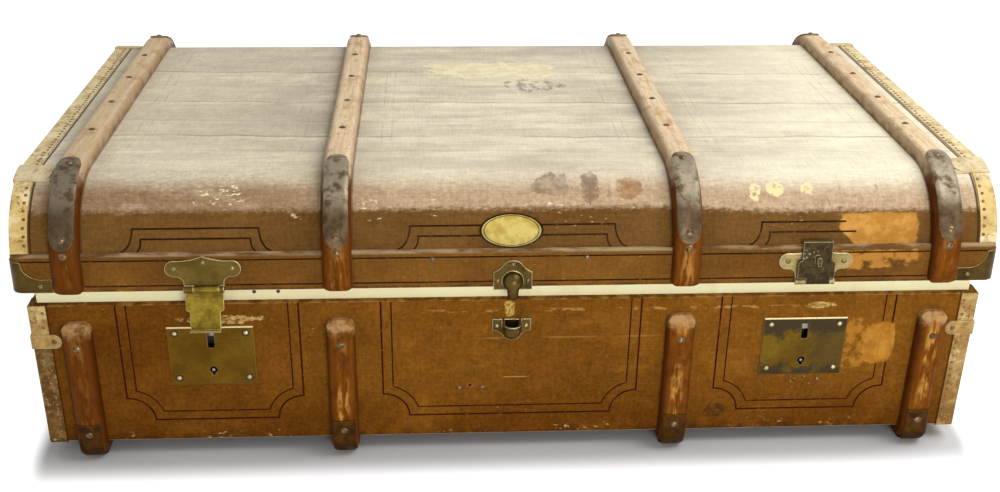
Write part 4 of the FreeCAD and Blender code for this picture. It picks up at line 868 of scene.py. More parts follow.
def rivet_rings(b, place):
    """Dirt left round the four rivets of a lock plate."""
    x, _, z = b.split(place)
    across = b.calc("SUBTRACT", b.calc("ABSOLUTE", x), LOCK_X)
    across = b.calc("SUBTRACT", b.calc("ABSOLUTE", across), LOCK_RIVET_X)
    up = b.calc("ABSOLUTE", b.calc("SUBTRACT", z, LOCK_Z))
    up = b.calc("SUBTRACT", up, LOCK_RIVET_Z)
    away = b.calc("SQRT", b.calc("ADD", b.both(across, across), b.both(up, up)))
    return b.ease(away, 0.0052, 0.0034)


def lock_blackening(b, place):
    """The right lock is black along its top, right side and foot, and on its corners."""
    x, _, z = b.split(place)
    shift = b.part(b.calc("SUBTRACT", b.noise(place, 60.0, 4.0), 0.5), 0.05)
    high = b.ease(b.calc("ADD", z, shift), 0.134, 0.146)
    low = b.ease(b.calc("ADD", z, shift), 0.106, 0.094)
    side = b.part(b.ease(b.calc("ADD", x, shift), 0.318, 0.336), 0.6)
    return b.either(high, low, side, rivet_rings(b, place))


def tongue_back(b, place):
    """The side of the right tongue that lay against the lock and was never polished."""
    facing = b.split(b.put("TexCoord").outputs["Normal"])[1]
    return b.ease(facing, -0.2, -0.6)


def handle_leather():
    m, b, place = new_finish("handle_leather")
    _, y, z = b.split(place)
    pores = b.put("TexVoronoi", {"Vector": place, "Scale": 620.0}).outputs[0]
    crease_and_shade = b.noise(b.vector("MULTIPLY", place, (60, 260, 60)), 1.0, 4.0, 0.6)
    colour = b.over(tone(124, 72, 32), b.cloudy(place, 0.03, 0.4, 0.64), tone(92, 50, 22))
    grip = b.ease(b.calc("ABSOLUTE", y), 0.06, 0.01)
    colour = b.lay(colour, b.both(grip, b.cloudy(place, 0.012, 0.4, 0.6)), 0.7, (66, 38, 20))
    rim = b.ease(b.calc("ABSOLUTE", b.calc("SUBTRACT", z, HANDLE_Z)), 0.0112, 0.0128)
    colour = b.lay(colour, rim, 0.8, (54, 32, 18))
    colour = b.lay(colour, b.ease(crease_and_shade, 0.62, 0.72), 0.5, (168, 118, 70))
    height = b.calc("MULTIPLY_ADD", crease_and_shade, 1.2, b.part(pores, 0.5))
    rough = b.scale(b.cloudy(place, 0.01, 0.3, 0.7), 0.38, 0.6)
    coat(b, colour, rough, height, deep=0.0004, strength=0.5, Specular_IOR_Level=0.35)
    return m


THREAD_TWIST = 0.0009


def stitch_thread():
    m, b, place = new_finish("stitch_thread")
    _, y, z = b.split(place)
    twist = b.calc("SINE", b.part(b.calc("ADD", y, z), 2 * math.pi / THREAD_TWIST))
    colour = b.over(tone(206, 180, 126), b.cloudy(place, 0.01, 0.4, 0.6), tone(158, 124, 76))
    rough = b.scale(b.noise(place, 300.0), 0.6, 0.85)
    coat(b, colour, rough, twist, deep=0.0001, strength=0.4, Specular_IOR_Level=0.2)
    return m


def stripe_paint(name, on_lid, dark, light):
    """Dark painted line, rubbed through to the canvas here and there."""
    m, b, place = new_finish(name, on_lid)
    wear_and_highlight = b.either(b.cloudy(place, 0.01, 0.6, 0.7), b.chips(place, 0.004, 0.4))
    colour = b.over(tone(*dark), b.cloudy(place, 0.03, 0.4, 0.6), tone(*light))
    colour = b.lay(colour, wear_and_highlight, 0.6, (124, 76, 26))
    if not on_lid:
        bare = b.group("bare_front", Place=place)
        bare = b.either(bare["Whole"], b.part(bare["Broken"], 0.6))
        colour = b.over(colour, bare, tone(182, 120, 42))
    rough = b.scale(wear_and_highlight, 0.55, 0.75)
    coat(
        b, colour, rough, b.noise(place, 500.0),
        deep=0.0001, strength=0.3, Specular_IOR_Level=0.04,
    )
    return m


def label_face():
    m, b, place = new_finish("label_face", on_lid=True)
    colour = b.over(tone(208, 186, 102), b.cloudy(place, 0.012, 0.4, 0.62), tone(184, 157, 72))
    colour = b.lay(colour, b.chips(place, 0.002, 0.5), 0.7, (120, 92, 44))
    scores = b.group("scratches", Place=place, Amount=0.5)[0]
    colour = b.lay(colour, scores, 0.4, (238, 222, 160))
    rough = b.scale(b.cloudy(place, 0.008, 0.3, 0.7), 0.34, 0.55)
    coat(
        b, colour, rough, b.noise(place, 220.0),
        deep=0.0002, strength=0.3, Specular_IOR_Level=0.12,
    )
    return m


def label_border():
    m, b, place = new_finish("label_border", on_lid=True)
    wear_and_highlight = b.chips(place, 0.002, 0.5)
    colour = b.over(tone(26, 17, 8), wear_and_highlight, tone(120, 96, 44))
    rough = b.scale(wear_and_highlight, 0.35, 0.6)
    coat(
        b, colour, rough, b.noise(place, 300.0),
        deep=0.0001, strength=0.3, Specular_IOR_Level=0.08,
    )
    return m


FINISH = {
    "body_canvas": body_canvas(),
    "lid_canvas": lid_canvas(),
    "valance_canvas": valance_canvas("valance_canvas", False),
    "lid_end_canvas": valance_canvas("lid_end_canvas", True),
    "collar_cloth": collar_cloth(),
    "body_slat": slat_wood("body_slat", False),
    "lid_slat": slat_wood("lid_slat", True),
    "strap_iron": iron("strap_iron", (104, 86, 62), (70, 54, 37), (158, 140, 110), True),
    "shoe_iron": iron("shoe_iron", (80, 49, 8), (46, 26, 3), (130, 92, 42)),
    "nail_heads": small_metal(
        "nail_heads", 0.004, 0.5, (132, 110, 80), (62, 47, 31), (0.7, (52, 36, 22)), (0.2, 0.38),
        deep=0.0002, strength=0.4, Metallic=0.7, Specular_IOR_Level=0.1,
    ),
    "plain_steel": small_metal(
        "plain_steel", 0.01, 0.45, (150, 146, 140), (104, 98, 90), (0.5, (92, 62, 40)),
        (0.28, 0.48), deep=0.0002, strength=0.3, Metallic=0.9,
    ),
    "hinge_iron": small_metal(
        "hinge_iron", 0.014, 0.4, (56, 46, 38), (78, 60, 44), (0.7, (124, 82, 50)), (0.4, 0.62),
        flaked=True, deep=0.0003, strength=0.4, Metallic=0.5,
    ),
    "tack_heads": tack_heads(),
    "body_edging": bound_edge("body_edging", False),
    "lid_edging": bound_edge("lid_edging", True),
    "body_tab": tab_leather("body_tab", False, (190, 156, 96), (160, 124, 66)),
    "lid_tab": tab_leather("lid_tab", True, (222, 204, 164), (200, 178, 134)),
    "handle_leather": handle_leather(),
    "stitch_thread": stitch_thread(),
    "body_stripe": stripe_paint("body_stripe", False, (40, 8, 4), (60, 17, 7)),
    "lid_stripe": stripe_paint("lid_stripe", True, (40, 20, 6), (58, 32, 10)),
    "label_face": label_face(),
    "label_border": label_border(),
}
# Brass of each fitting: its bright, dark and rubbed tones, and what sets it apart
LEFT_LOCK = dict(black=rivet_rings, lip=LOCK_LIP)
RIGHT_LOCK = dict(black=lock_blackening, lip=LOCK_LIP)
RIGHT_TONGUE = dict(black=tongue_back, nicked=True)
BRASSES = (
    ("lock_brass", (104, 76, 18), (84, 58, 10), (146, 118, 56), LEFT_LOCK),
    ("lock_black", (110, 85, 22), (84, 62, 15), (128, 110, 66), RIGHT_LOCK),
    ("hasp_brass", (106, 88, 40), (82, 65, 24), (228, 214, 164), {}),
    ("hasp_pale", (166, 150, 100), (122, 105, 60), (236, 224, 184), {}),
    ("tongue_brass", (152, 129, 46), (76, 58, 13), (222, 200, 118), {}),
    ("tongue_black", (128, 106, 42), (94, 75, 26), (172, 158, 124), RIGHT_TONGUE),
    ("cap_brass", (84, 66, 29), (48, 36, 15), (190, 162, 98), {}),
    ("dowel_brass", (104, 84, 40), (46, 34, 13), (222, 206, 156), dict(dull=0.22)),
    ("rivet_brass", (214, 194, 146), (160, 136, 90), (236, 222, 182), dict(dull=0.26)),
    ("lid_rivet_brass", (140, 122, 72), (92, 74, 36), (226, 212, 164), dict(dull=0.24)),
)
for fitting, bright, dark, rubbed, apart in BRASSES:
    FINISH[fitting] = old_brass(fitting, bright, dark, rubbed, **apart)

# Which finish each solid of the trunk has, by the start of its name: the first that fits
DRESS = (
    ("body_front_slat", "body_slat"), ("body_back_slats", "body_slat"),
    ("body_runners", "body_slat"), ("body_slat_nails", "nail_heads"),
    ("body_binding_clips", "body_tab"), ("body_binding", "body_edging"),
    ("body_rivets", "rivet_brass"), ("body_", "body_canvas"), ("collar", "collar_cloth"),
    ("slat_shoes", "shoe_iron"), ("lock_plate_left", "lock_brass"),
    ("lock_plate_right", "lock_black"), ("lock_", "plain_steel"), ("dowel", "dowel_brass"),
    ("hinge_pins", "plain_steel"), ("hinge_", "hinge_iron"),
    ("handle_loops", "plain_steel"), ("handle_strap", "handle_leather"),
    ("lid_slat_straps", "strap_iron"), ("lid_slat_nails", "nail_heads"), ("lid_slat", "lid_slat"),
    ("lid_binding_clips", "lid_tab"), ("lid_binding", "lid_edging"),
    ("lid_corner_caps", "cap_brass"), ("lid_rivets", "lid_rivet_brass"),
    ("lid_left_end", "lid_end_canvas"), ("lid_right_end", "lid_end_canvas"),
    ("lid_shell", "lid_canvas"), ("valance", "valance_canvas"),
    ("hasp_pins", "plain_steel"), ("hasp_plate_right", "hasp_pale"),
    ("hasp_tongue_left", "tongue_brass"), ("hasp_tongue_right", "tongue_black"),
    ("hasp_", "hasp_brass"),
)
for node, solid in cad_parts.items():
    finish = next(f for start, f in DRESS if node.startswith(start))
    solid.data.materials.clear()
    solid.data.materials.append(FINISH[finish])


def piece(name, bm, finish, body):
    """Turns a finished bmesh into a piece that rides on a body. The lid's are laid out shut."""
    bmesh.ops.recalc_face_normals(bm, faces=bm.faces)
    if body == "lid":
        bmesh.ops.transform(bm, matrix=TO_AJAR, verts=bm.verts)
    mesh = bpy.data.meshes.new(name)
    bm.to_mesh(mesh)
    bm.free()
    mesh.materials.append(FINISH[finish])
    obj = bpy.data.objects.new(name, mesh)
    bpy.context.scene.collection.objects.link(obj)
    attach(obj, body)
    return obj


def smooth(obj, degrees=40):
    """Smooth shading up to an angle, so that crisp edges stay crisp."""
    for face in obj.data.polygons:
        face.use_smooth = True
    obj.data.set_sharp_from_angle(angle=math.radians(degrees))
    return obj


# Rings of a domed head from its foot to its crown: share of its radius and of its height
HEAD_RINGS = ((1.0, -0.4), (1.0, 0.15), (0.92, 0.45), (0.7, 0.78), (0.36, 0.96))
SLOT_ABOVE, SLOT_HALF, HEAD_SMOOTH = 0.5, 0.3, 55


def head(bm, point, out, radius, height, sides, slot):
    """One domed head seated a little into what it holds, with a screw slot if asked for."""
    out = Vector(out).normalized()
    side = out.orthogonal().normalized()
    up = out.cross(side)
    turn = dice.uniform(0, math.pi)
    rings = []
    for wide, tall in HEAD_RINGS:
        ring = []
        for k in range(sides):
            a = 2 * math.pi * k / sides + turn
            cut = tall > SLOT_ABOVE and abs(math.sin(a - turn)) < SLOT_HALF
            at = Vector(point) + out * (height * tall - (slot if cut else 0.0))
            ring.append(bm.verts.new(at + (side * math.cos(a) + up * math.sin(a)) * radius * wide))
        rings.append(ring)
    for low, high in zip(rings, rings[1:]):
        for k in range(sides):
            bm.faces.new((low[k], low[k - 1], high[k - 1], high[k]))
    bm.faces.new(rings[0])
    top = bm.verts.new(Vector(point) + out * (height - slot))
    for k in range(sides):
        bm.faces.new((rings[-1][k - 1], rings[-1][k], top))


def heads(name, spots, size, finish, body, sides=12, cut=0.0):
    """Heads of one size, a radius and a height, at points with the way each one looks."""
    bm = bmesh.new()
    for point, out in spots:
        head(bm, point, out, *size, sides, cut)
    smooth(piece(name, bm, finish, body), HEAD_SMOOTH)


def skin(bm, rows, capped=True):
    """Faces round and along rows of points, with both ends closed unless told not to."""
    for low, high in zip(rows, rows[1:]):
        for k in range(len(low)):
            bm.faces.new((low[k - 1], low[k], high[k], high[k - 1]))
    if capped:
        bm.faces.new(rows[0])
        bm.faces.new(rows[-1][::-1])


def ribbon(bm, run, width, thick, onto):
    """A thin strip along points of a face. onto gives the place of (along, up, lift)."""
    rows = []
    for k, here in enumerate(run):
        before = run[max(k - 1, 0)]
        after = run[min(k + 1, len(run) - 1)]
        first = Vector((here[0] - before[0], here[1] - before[1]))
        second = Vector((after[0] - here[0], after[1] - here[1]))
        first = first.normalized() if first.length > 1e-9 else second.normalized()
        second = second.normalized() if second.length > 1e-9 else first
        way = (first + second).normalized()
        across = Vector((-way.y, way.x)) * (width / 2 / max(0.5, way.dot(first)))
        row = []
        for sign, lift in ((1, -thick), (1, thick), (-1, thick), (-1, -thick)):
            at = onto(here[0] + sign * across.x, here[1] + sign * across.y, lift)
            row.append(bm.verts.new(at))
        rows.append(row)
    skin(bm, rows)


def on_body_front(x, z, lift):
    return Vector((x, -BODY_Y - lift, z))


def on_valance_front(x, z, lift):
    return Vector((x, -VALANCE_Y - lift, z))


def on_shoulder(x, along, lift):
    """On the lid's front shoulder, along its curve from where it starts to bend."""
    a = along / SHOULDER_R
    reach = SHOULDER_R + lift
    return Vector((x, -SHOULDER_Y - reach * math.cos(a), SHOULDER_Z + reach * math.sin(a)))


# Painted lines
STRIPE, STRIPE_INNER, STRIPE_THICK, STRIPE_GAP = 0.0018, 0.0014, 0.00012, 0.0108
PANEL_FRAMES = ((-0.411, -0.223), (-0.1375, 0.1375), (0.223, 0.411))
FRAME_TOP, FRAME_LOW, NOTCH, NOTCH_PARTS = BODY_TOP - 0.0005, 0.0445, 0.028, 10


def body_frame_line(left, right, inset):
    """Open at the top, with hollow quarter-round lower corners."""
    radius = NOTCH + inset
    start = math.asin(inset / radius)
    sweep = math.pi / 2 - 2 * start
    turns = [start + sweep * k / NOTCH_PARTS for k in range(NOTCH_PARTS + 1)]
    run = [(left + inset, FRAME_TOP)]
    run += [(left + radius * math.sin(a), FRAME_LOW + radius * math.cos(a)) for a in turns]
    run += [(right - radius * math.cos(a), FRAME_LOW + radius * math.sin(a)) for a in turns]
    run.append((right - inset, FRAME_TOP))
    return run


def body_stripes():
    bm = bmesh.new()
    for left, right in PANEL_FRAMES:
        for inset in (0.0, STRIPE_GAP):
            width = STRIPE if inset == 0 else STRIPE_INNER
            ribbon(bm, body_frame_line(left, right, inset), width, STRIPE_THICK, on_body_front)
    piece("body_stripes", bm, "body_stripe", "body")


LID_FRAMES = ((-0.3855, -0.2585), (-0.1055, 0.1055), (0.2585, 0.3855))
LID_STRIPE_TOP, LID_STRIPE_FOOT, LID_STRIPE_LOST = 0.0334, 0.0096, 0.347
LID_FLARE, LID_INNER_FLARE = 0.0145, 0.0145 * 0.4
LID_INNER_DROP, LID_INNER_INSET = 0.0105, 0.0085
FLARE_TURN, FLARE_PARTS = math.radians(84), 8
# Level lines on the lid's band: heights, and how far they reach on the front and on the ends
BAND_LINES, BAND_LINE_END, END_LINE_HALF = (0.2065, 0.1785), 0.499, 0.288
BAND_STRIPE, SLAT_MARGIN = STRIPE * 0.9, 0.0005


def lid_frame_line(left, right, drop, inset, flare):
    """Stands on the valance and flares out towards it; the right one is lost in the bare patch."""
    top = LID_STRIPE_TOP - drop
    tall = top - LID_STRIPE_FOOT
    bends = [FLARE_TURN * k / FLARE_PARTS for k in range(FLARE_PARTS + 1)]
    full = math.sin(bends[-1])
    side = [(flare * (1 - math.cos(a)), top - tall * math.sin(a) / full) for a in bends]
    run = [(left + inset - out, up) for out, up in reversed(side)]
    if left > 0:
        return run + [(LID_STRIPE_LOST + drop, top)]
    run += [(right - inset + out, up) for out, up in side]
    return run


def level_line(start, end, level, parts):
    """Points of a level line."""
    return [(start + (end - start) * k / parts, level) for k in range(parts + 1)]


def lid_stripes():
    bm = bmesh.new()
    for left, right in LID_FRAMES:
        outer = lid_frame_line(left, right, 0, 0, LID_FLARE)
        inner = lid_frame_line(left, right, LID_INNER_DROP, LID_INNER_INSET, LID_INNER_FLARE)
        ribbon(bm, outer, STRIPE, STRIPE_THICK, on_shoulder)
        ribbon(bm, inner, STRIPE, STRIPE_THICK, on_shoulder)
    edge = SLAT_HALF + SLAT_MARGIN
    spans = (
        (-BAND_LINE_END, -SLAT_OUTER - edge), (-SLAT_OUTER + edge, -SLAT_INNER - edge),
        (-SLAT_INNER + edge, SLAT_INNER - edge), (SLAT_INNER + edge, SLAT_OUTER - edge),
        (SLAT_OUTER + edge, BAND_LINE_END),
    )
    for level in BAND_LINES:
        for start, end in spans:
            run = level_line(start, end, level, 8)
            ribbon(bm, run, BAND_STRIPE, STRIPE_THICK, on_valance_front)
    for sign in (-1, 1):
        def on_end(y, z, lift, sign=sign):
            return Vector((sign * (VALANCE_X + lift), y, z))

        run = level_line(-END_LINE_HALF, END_LINE_HALF, BAND_LINES[0], 12)
        ribbon(bm, run, BAND_STRIPE, STRIPE_THICK, on_end)
    piece("lid_stripes", bm, "lid_stripe", "lid")


# Oval label plate, bare: its rings and its two edge lines, as shares of its size and as lifts
LABEL_X, LABEL_UP, LABEL_HALF_X, LABEL_HALF_UP = -0.0015, 0.0277, 0.033, 0.0178
LABEL_SINK, LABEL_CROWN, LABEL_PARTS = -0.0002, 0.0008, 48
LABEL_RINGS = (
    (0.95, LABEL_SINK), (0.95, 0.0005), (0.86, 0.00062), (0.6, 0.00075), (0.3, LABEL_CROWN),
)
EDGE_LINES, EDGE_LINE_OUTER, EDGE_LINE_INNER = ((1.0, 0.93), (0.87, 0.845)), 0.0009, 0.0010


def oval(bm, share, lift):
    """One ring of the label's oval on the shoulder."""
    ring = []
    for k in range(LABEL_PARTS):
        a = 2 * math.pi * k / LABEL_PARTS
        x = LABEL_X + LABEL_HALF_X * share * math.cos(a)
        up = LABEL_UP + LABEL_HALF_UP * share * math.sin(a)
        ring.append(bm.verts.new(on_shoulder(x, up, lift)))
    return ring


def label():
    bm = bmesh.new()
    rings = [oval(bm, share, lift) for share, lift in LABEL_RINGS]
    skin(bm, rings, capped=False)
    bm.faces.new(rings[0])
    middle = bm.verts.new(on_shoulder(LABEL_X, LABEL_UP, LABEL_CROWN))
    for k in range(LABEL_PARTS):
        bm.faces.new((rings[-1][k - 1], rings[-1][k], middle))
    smooth(piece("label_plate", bm, "label_face", "lid"))

    bm = bmesh.new()
    for outer, inner in EDGE_LINES:
        rings = [
            oval(bm, outer, LABEL_SINK), oval(bm, outer, EDGE_LINE_OUTER),
            oval(bm, inner, EDGE_LINE_INNER), oval(bm, inner, LABEL_SINK),
        ]
        skin(bm, rings + rings[:1], capped=False)
    smooth(piece("label_edge_lines", bm, "label_border", "lid"))


# Tacks along the edging: size, size where they are flush, pitch, how far in from the edge on the
# broad faces and on the ends, and how far one may stray
TACK, FLUSH_TACK, TACK_SIDES = (0.0018, 0.0008), (0.0018, 0.0002), 8
TACK_PITCH, TACK_IN, TACK_END_IN, TACK_STRAY = 0.0086, 0.0140, 0.0125, 0.0007
# Where the rows of tacks begin: over the foot, under the rim, off the corners and on the shoulder
TACKS_FOOT, TACKS_RIM, TACKS_CORNER, TACKS_TURN = 0.012, 0.004, 0.02, math.radians(10.5)
BAND_CLEAR = 0.003


def steps(start, end, pitch):
    count = max(1, round(abs(end - start) / pitch))
    return [start + (end - start) * (k + 0.5) / count for k in range(count)]


def stray():
    return dice.uniform(-TACK_STRAY, TACK_STRAY)


def edging_tacks():
    """Tacks along the edging, driven flush where the shut lid's band slides over them."""
    body_spots, flush_spots, lid_spots = [], [], []
    for side in (-1, 1):
        x = side * (BODY_X + BINDING - TACK_IN)
        end_x = side * (BODY_X + BINDING)
        for z in steps(GROUND + TACKS_FOOT, BODY_TOP - TACKS_RIM, TACK_PITCH):
            if abs(z - BODY_TAB_Z) < BODY_TAB_HALF:
                continue
            shift = stray()
            row = flush_spots if z > VALANCE_LOW - BAND_CLEAR else body_spots
            for front in (-1, 1):
                row.append(((x + shift, front * (BODY_Y + BINDING), z), (0, front, 0)))
                y = front * (BODY_Y - TACK_END_IN) + shift
                body_spots.append(((end_x, y, z), (side, 0, 0)))
        for y in steps(-BODY_Y + TACKS_CORNER, BODY_Y - TACKS_CORNER, TACK_PITCH):
            shift = stray()
            body_spots.append(((x + shift, y, GROUND - BINDING), (0, 0, -1)))
            body_spots.append(((end_x, y, GROUND + TACK_END_IN + shift), (side, 0, 0)))

        x = side * (LID_X + BINDING - TACK_IN)
        end_x = side * (LID_X + BINDING)
        for a in steps(TACKS_TURN, math.pi / 2, TACK_PITCH / SHOULDER_R):
            shift = stray()
            if abs(math.degrees(a) - LID_TAB_TURN) < LID_TAB_REACH:
                continue
            for front in (-1, 1):
                out = Vector((0, front * math.cos(a), math.sin(a)))
                centre = Vector((0, front * SHOULDER_Y, SHOULDER_Z))
                spot = centre + out * (SHOULDER_R + BINDING)
                lid_spots.append((spot + Vector((x + shift, 0, 0)), out))
                spot = centre + out * (SHOULDER_R - TACK_END_IN)
                lid_spots.append((spot + Vector((end_x, 0, 0)), (side, 0, 0)))
        for y in steps(-SHOULDER_Y, SHOULDER_Y, TACK_PITCH):
            shift = stray()
            lid_spots.append(((x + shift, y, LID_TOP + BINDING), (0, 0, 1)))
            lid_spots.append(((end_x, y, LID_TOP - TACK_END_IN + shift), (side, 0, 0)))
    for name, spots, size, body in (
        ("body_edging_tacks", body_spots, TACK, "body"),
        ("body_flush_tacks", flush_spots, FLUSH_TACK, "body"),
        ("lid_edging_tacks", lid_spots, TACK, "lid"),
    ):
        heads(name, spots, size, "tack_heads", body, TACK_SIDES)


# Small nails: radius and height, and where they are
BODY_NAIL, LID_NAIL, COLLAR_NAIL = (0.0027, 0.0012), (0.0027, 0.0011), (0.0021, 0.0009)
BODY_TAB_NAIL_X, BODY_TAB_NAIL_Y, LID_TAB_NAIL_X = 0.4772, 0.2885, 0.4869
CAP_NAIL_X, CAP_NAIL_HIGH, CAP_NAIL_LOW = 0.4800, 0.1955, 0.1800
CAP_END_NAIL_HIGH_Y, CAP_END_NAIL_LOW_Y = 0.2795, 0.2745
PANEL_NAILS = ((-0.0557, 0.0783), (-0.0307, 0.0790), (0.3117, 0.0822), (0.3373, 0.0818))
BAND_NAILS_X, BAND_NAILS_Z = (-0.0832, 0.0762), 0.2045
COLLAR_NAILS_X, COLLAR_NAILS_Z = (-0.268, -0.2432), 0.1975


def small_nails():
    """Nails of tabs and corner caps, and the odd ones left in the panels."""
    body_spots, lid_spots = [], []
    tab_x, tab_y = BODY_X + BINDING + CLIP, BODY_Y + BINDING + CLIP
    cap_x, cap_y = VALANCE_X + CAP, VALANCE_Y + CAP
    turn = math.radians(LID_TAB_TURN)
    for side in (-1, 1):
        for front in (-1, 1):
            to_front, to_side = (0, front, 0), (side, 0, 0)
            body_spots.append(((side * BODY_TAB_NAIL_X, front * tab_y, BODY_TAB_Z), to_front))
            body_spots.append(((side * tab_x, front * BODY_TAB_NAIL_Y, BODY_TAB_Z), to_side))
            out = Vector((0, front * math.cos(turn), math.sin(turn)))
            centre = Vector((side * LID_TAB_NAIL_X, front * SHOULDER_Y, SHOULDER_Z))
            lid_spots.append((centre + out * (SHOULDER_R + CLIP), out))
            low = CAP_NAIL_LOW if front < 0 else CAP_NAIL_HIGH
            lid_spots.append(((side * CAP_NAIL_X, front * cap_y, low), to_front))
            lid_spots.append(((side * cap_x, front * CAP_END_NAIL_HIGH_Y, CAP_NAIL_HIGH), to_side))
            lid_spots.append(((side * cap_x, front * CAP_END_NAIL_LOW_Y, low), to_side))
    for x, z in PANEL_NAILS:
        body_spots.append(((x, -BODY_Y, z), (0, -1, 0)))
    for x in BAND_NAILS_X:
        lid_spots.append(((x, -VALANCE_Y, BAND_NAILS_Z), (0, -1, 0)))
    collar_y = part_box("collar_front")[0].y
    collar_spots = [((x, collar_y, COLLAR_NAILS_Z), (0, -1, 0)) for x in COLLAR_NAILS_X]
    heads("body_small_nails", body_spots, BODY_NAIL, "nail_heads", "body")
    heads("lid_small_nails", lid_spots, LID_NAIL, "nail_heads", "lid")
    heads("collar_nails", collar_spots, COLLAR_NAIL, "hinge_iron", "body")


# Screws of the hinges and of the handle loops, on plates of one thickness
SCREW, SCREW_SLOT, SCREW_SIDES, PLATE = (0.0031, 0.0011), 0.0006, 16, 0.002
HINGE_MIDDLES, HINGE_SCREWS = (-LOCK_X, 0.0, LOCK_X), (-0.022, 0.0, 0.022)
LOWER_LEAF_Z, UPPER_LEAF_Z = 0.1722, 0.2052
LOOP_SCREW_Y, LOOP_SCREW_UP = 0.086, 0.0197


def screws():
    body_spots, lid_spots = [], []
    for middle in HINGE_MIDDLES:
        for off in HINGE_SCREWS:
            body_spots.append(((middle + off, BODY_Y + PLATE, LOWER_LEAF_Z), (0, 1, 0)))
            lid_spots.append(((middle + off, VALANCE_Y + PLATE, UPPER_LEAF_Z), (0, 1, 0)))
    for side in (-1, 1):
        for front in (-1, 1):
            for up in (-1, 1):
                y, z = front * LOOP_SCREW_Y, HANDLE_Z + up * LOOP_SCREW_UP
                body_spots.append(((side * (BODY_X + PLATE), y, z), (side, 0, 0)))
    heads("body_screws", body_spots, SCREW, "plain_steel", "body", SCREW_SIDES, SCREW_SLOT)
    heads("lid_screws", lid_spots, SCREW, "plain_steel", "lid", SCREW_SIDES, SCREW_SLOT)


# Leather end handles. The strap's section, as shares of its half width and as lifts off its inner
# face: flat towards the panel, crowned on the outside and creased along the stitching
STRAP_SECTION = (
    (-0.94, 0.0002), (-1.0, 0.0012), (-1.0, 0.0038), (-0.95, 0.0051), (-0.80, 0.0053),
    (-0.74, 0.0048), (-0.66, 0.0055), (-0.3, 0.0059), (0.0, 0.0060), (0.3, 0.0059),
    (0.66, 0.0055), (0.74, 0.0048), (0.80, 0.0053), (0.95, 0.0051), (1.0, 0.0038),
    (1.0, 0.0012), (0.94, 0.0002), (0.0, 0.0001),
)
STRAP_THICK, STRAP_UNDER_LOOP, STRAP_TIP, STRAP_PARTS = 0.0060, 0.0058, 0.0015, 120
LOOP_MARGIN, BOW_STEP = 0.004, 0.0005
STITCH_LINE, STITCH_PITCH, STITCH_HALF = 0.74, 0.0056, 0.0021
STITCH_LIFT, STITCH_SINK, STITCH_THICK, STITCH_SIDES = 0.0051, 0.0007, 0.00042, 6


def bow(y):
    """How far the strap stands off the end panel at a place along it."""
    if abs(y) >= HANDLE_HALF:
        return 0.0
    return HANDLE_BOW * (0.5 + 0.5 * math.cos(math.pi * y / HANDLE_HALF))


def strap_half_width(y):
    """Half width of the strap: full between the loops, round at its tails."""
    end = HANDLE_HALF + HANDLE_TAIL
    over = abs(y) - (end - HANDLE_W / 2)
    if over <= 0:
        return HANDLE_W / 2
    return max(STRAP_TIP, math.sqrt(max(0.0, (HANDLE_W / 2) ** 2 - over ** 2)))


def end_handle(name, side):
    bm = bmesh.new()
    end = HANDLE_HALF + HANDLE_TAIL
    rows = []
    for y in [-end + 2 * end * k / STRAP_PARTS for k in range(STRAP_PARTS + 1)]:
        half = strap_half_width(y)
        slope = (bow(y + BOW_STEP) - bow(y - BOW_STEP)) / (2 * BOW_STEP)
        along = Vector((slope, 1, 0)).normalized()
        out = Vector((along.y, -along.x, 0))
        most = STRAP_THICK if abs(y) < HANDLE_HALF - LOOP_MARGIN else STRAP_UNDER_LOOP
        row = []
        for share, lift in STRAP_SECTION:
            at = Vector((BODY_X + bow(y), y, HANDLE_Z + share * half)) + out * min(lift, most)
            row.append(bm.verts.new(Vector((side * at.x, at.y, at.z))))
        rows.append(row)
    skin(bm, rows)
    strap = smooth(piece(name, bm, "handle_leather", "body"), 50)

    bm = bmesh.new()
    for edge in (-STITCH_LINE, STITCH_LINE):
        for y in steps(-HANDLE_HALF + LOOP_MARGIN, HANDLE_HALF - LOOP_MARGIN, STITCH_PITCH):
            stitch(bm, side, y, HANDLE_Z + edge * HANDLE_W / 2)
    smooth(piece(name + "_stitching", bm, "stitch_thread", "body"), 60)
    return strap


def stitch(bm, side, y, z):
    """One sunk stitch: a short thread, high in the middle and dipping at both ends."""
    rows = []
    for share in (-1.0, -0.6, 0.0, 0.6, 1.0):
        at = y + share * STITCH_HALF
        sink = STITCH_SINK * share * share
        thick = STITCH_THICK * (1.0 - 0.45 * share * share)
        centre = Vector((BODY_X + bow(at) + STITCH_LIFT - sink, at, z))
        row = []
        for k in range(STITCH_SIDES):
            a = 2 * math.pi * k / STITCH_SIDES
            spot = centre + Vector((math.cos(a), 0, math.sin(a))) * thick
            row.append(bm.verts.new(Vector((side * spot.x, spot.y, spot.z))))
        rows.append(row)
    skin(bm, rows)


body_stripes()
lid_stripes()
label()
edging_tacks()
small_nails()
screws()
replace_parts(end_handle("end_handle_left", -1), "handle_strap_left")
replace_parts(end_handle("end_handle_right", 1), "handle_strap_right")


# Floor, light and camera
FLOOR_TONE, FLOOR_GLOW = 0.64, 0.84
FLOOR_HALF, FLOOR_DROP = 9, 0.0002
# Distances from the trunk over which the floor's glow fades in, those beside its ends counting
# more; nearer in, the grey floor is left as a painted shadow round the trunk
GLOW_NEAR, GLOW_FAR, GLOW_ENDS = 0.014, 0.07, 2.4
SKY_LEVEL = 0.45
# Soft lamps: place, how far across and watts
LAMPS = {"soft_box": ((1.1, -0.35, 1.7), 1.6, 26), "front_fill": ((0.5, -2.6, 0.5), 1.2, 28)}
LAMP_AIM = Vector((0, 0, 0.15))
SENSOR, LENS = 36, 46.794
CAMERA_PLACE, CAMERA_TURN = (-0.08435, -1.48097, 0.86134), (62.725, -0.781, -3.027)


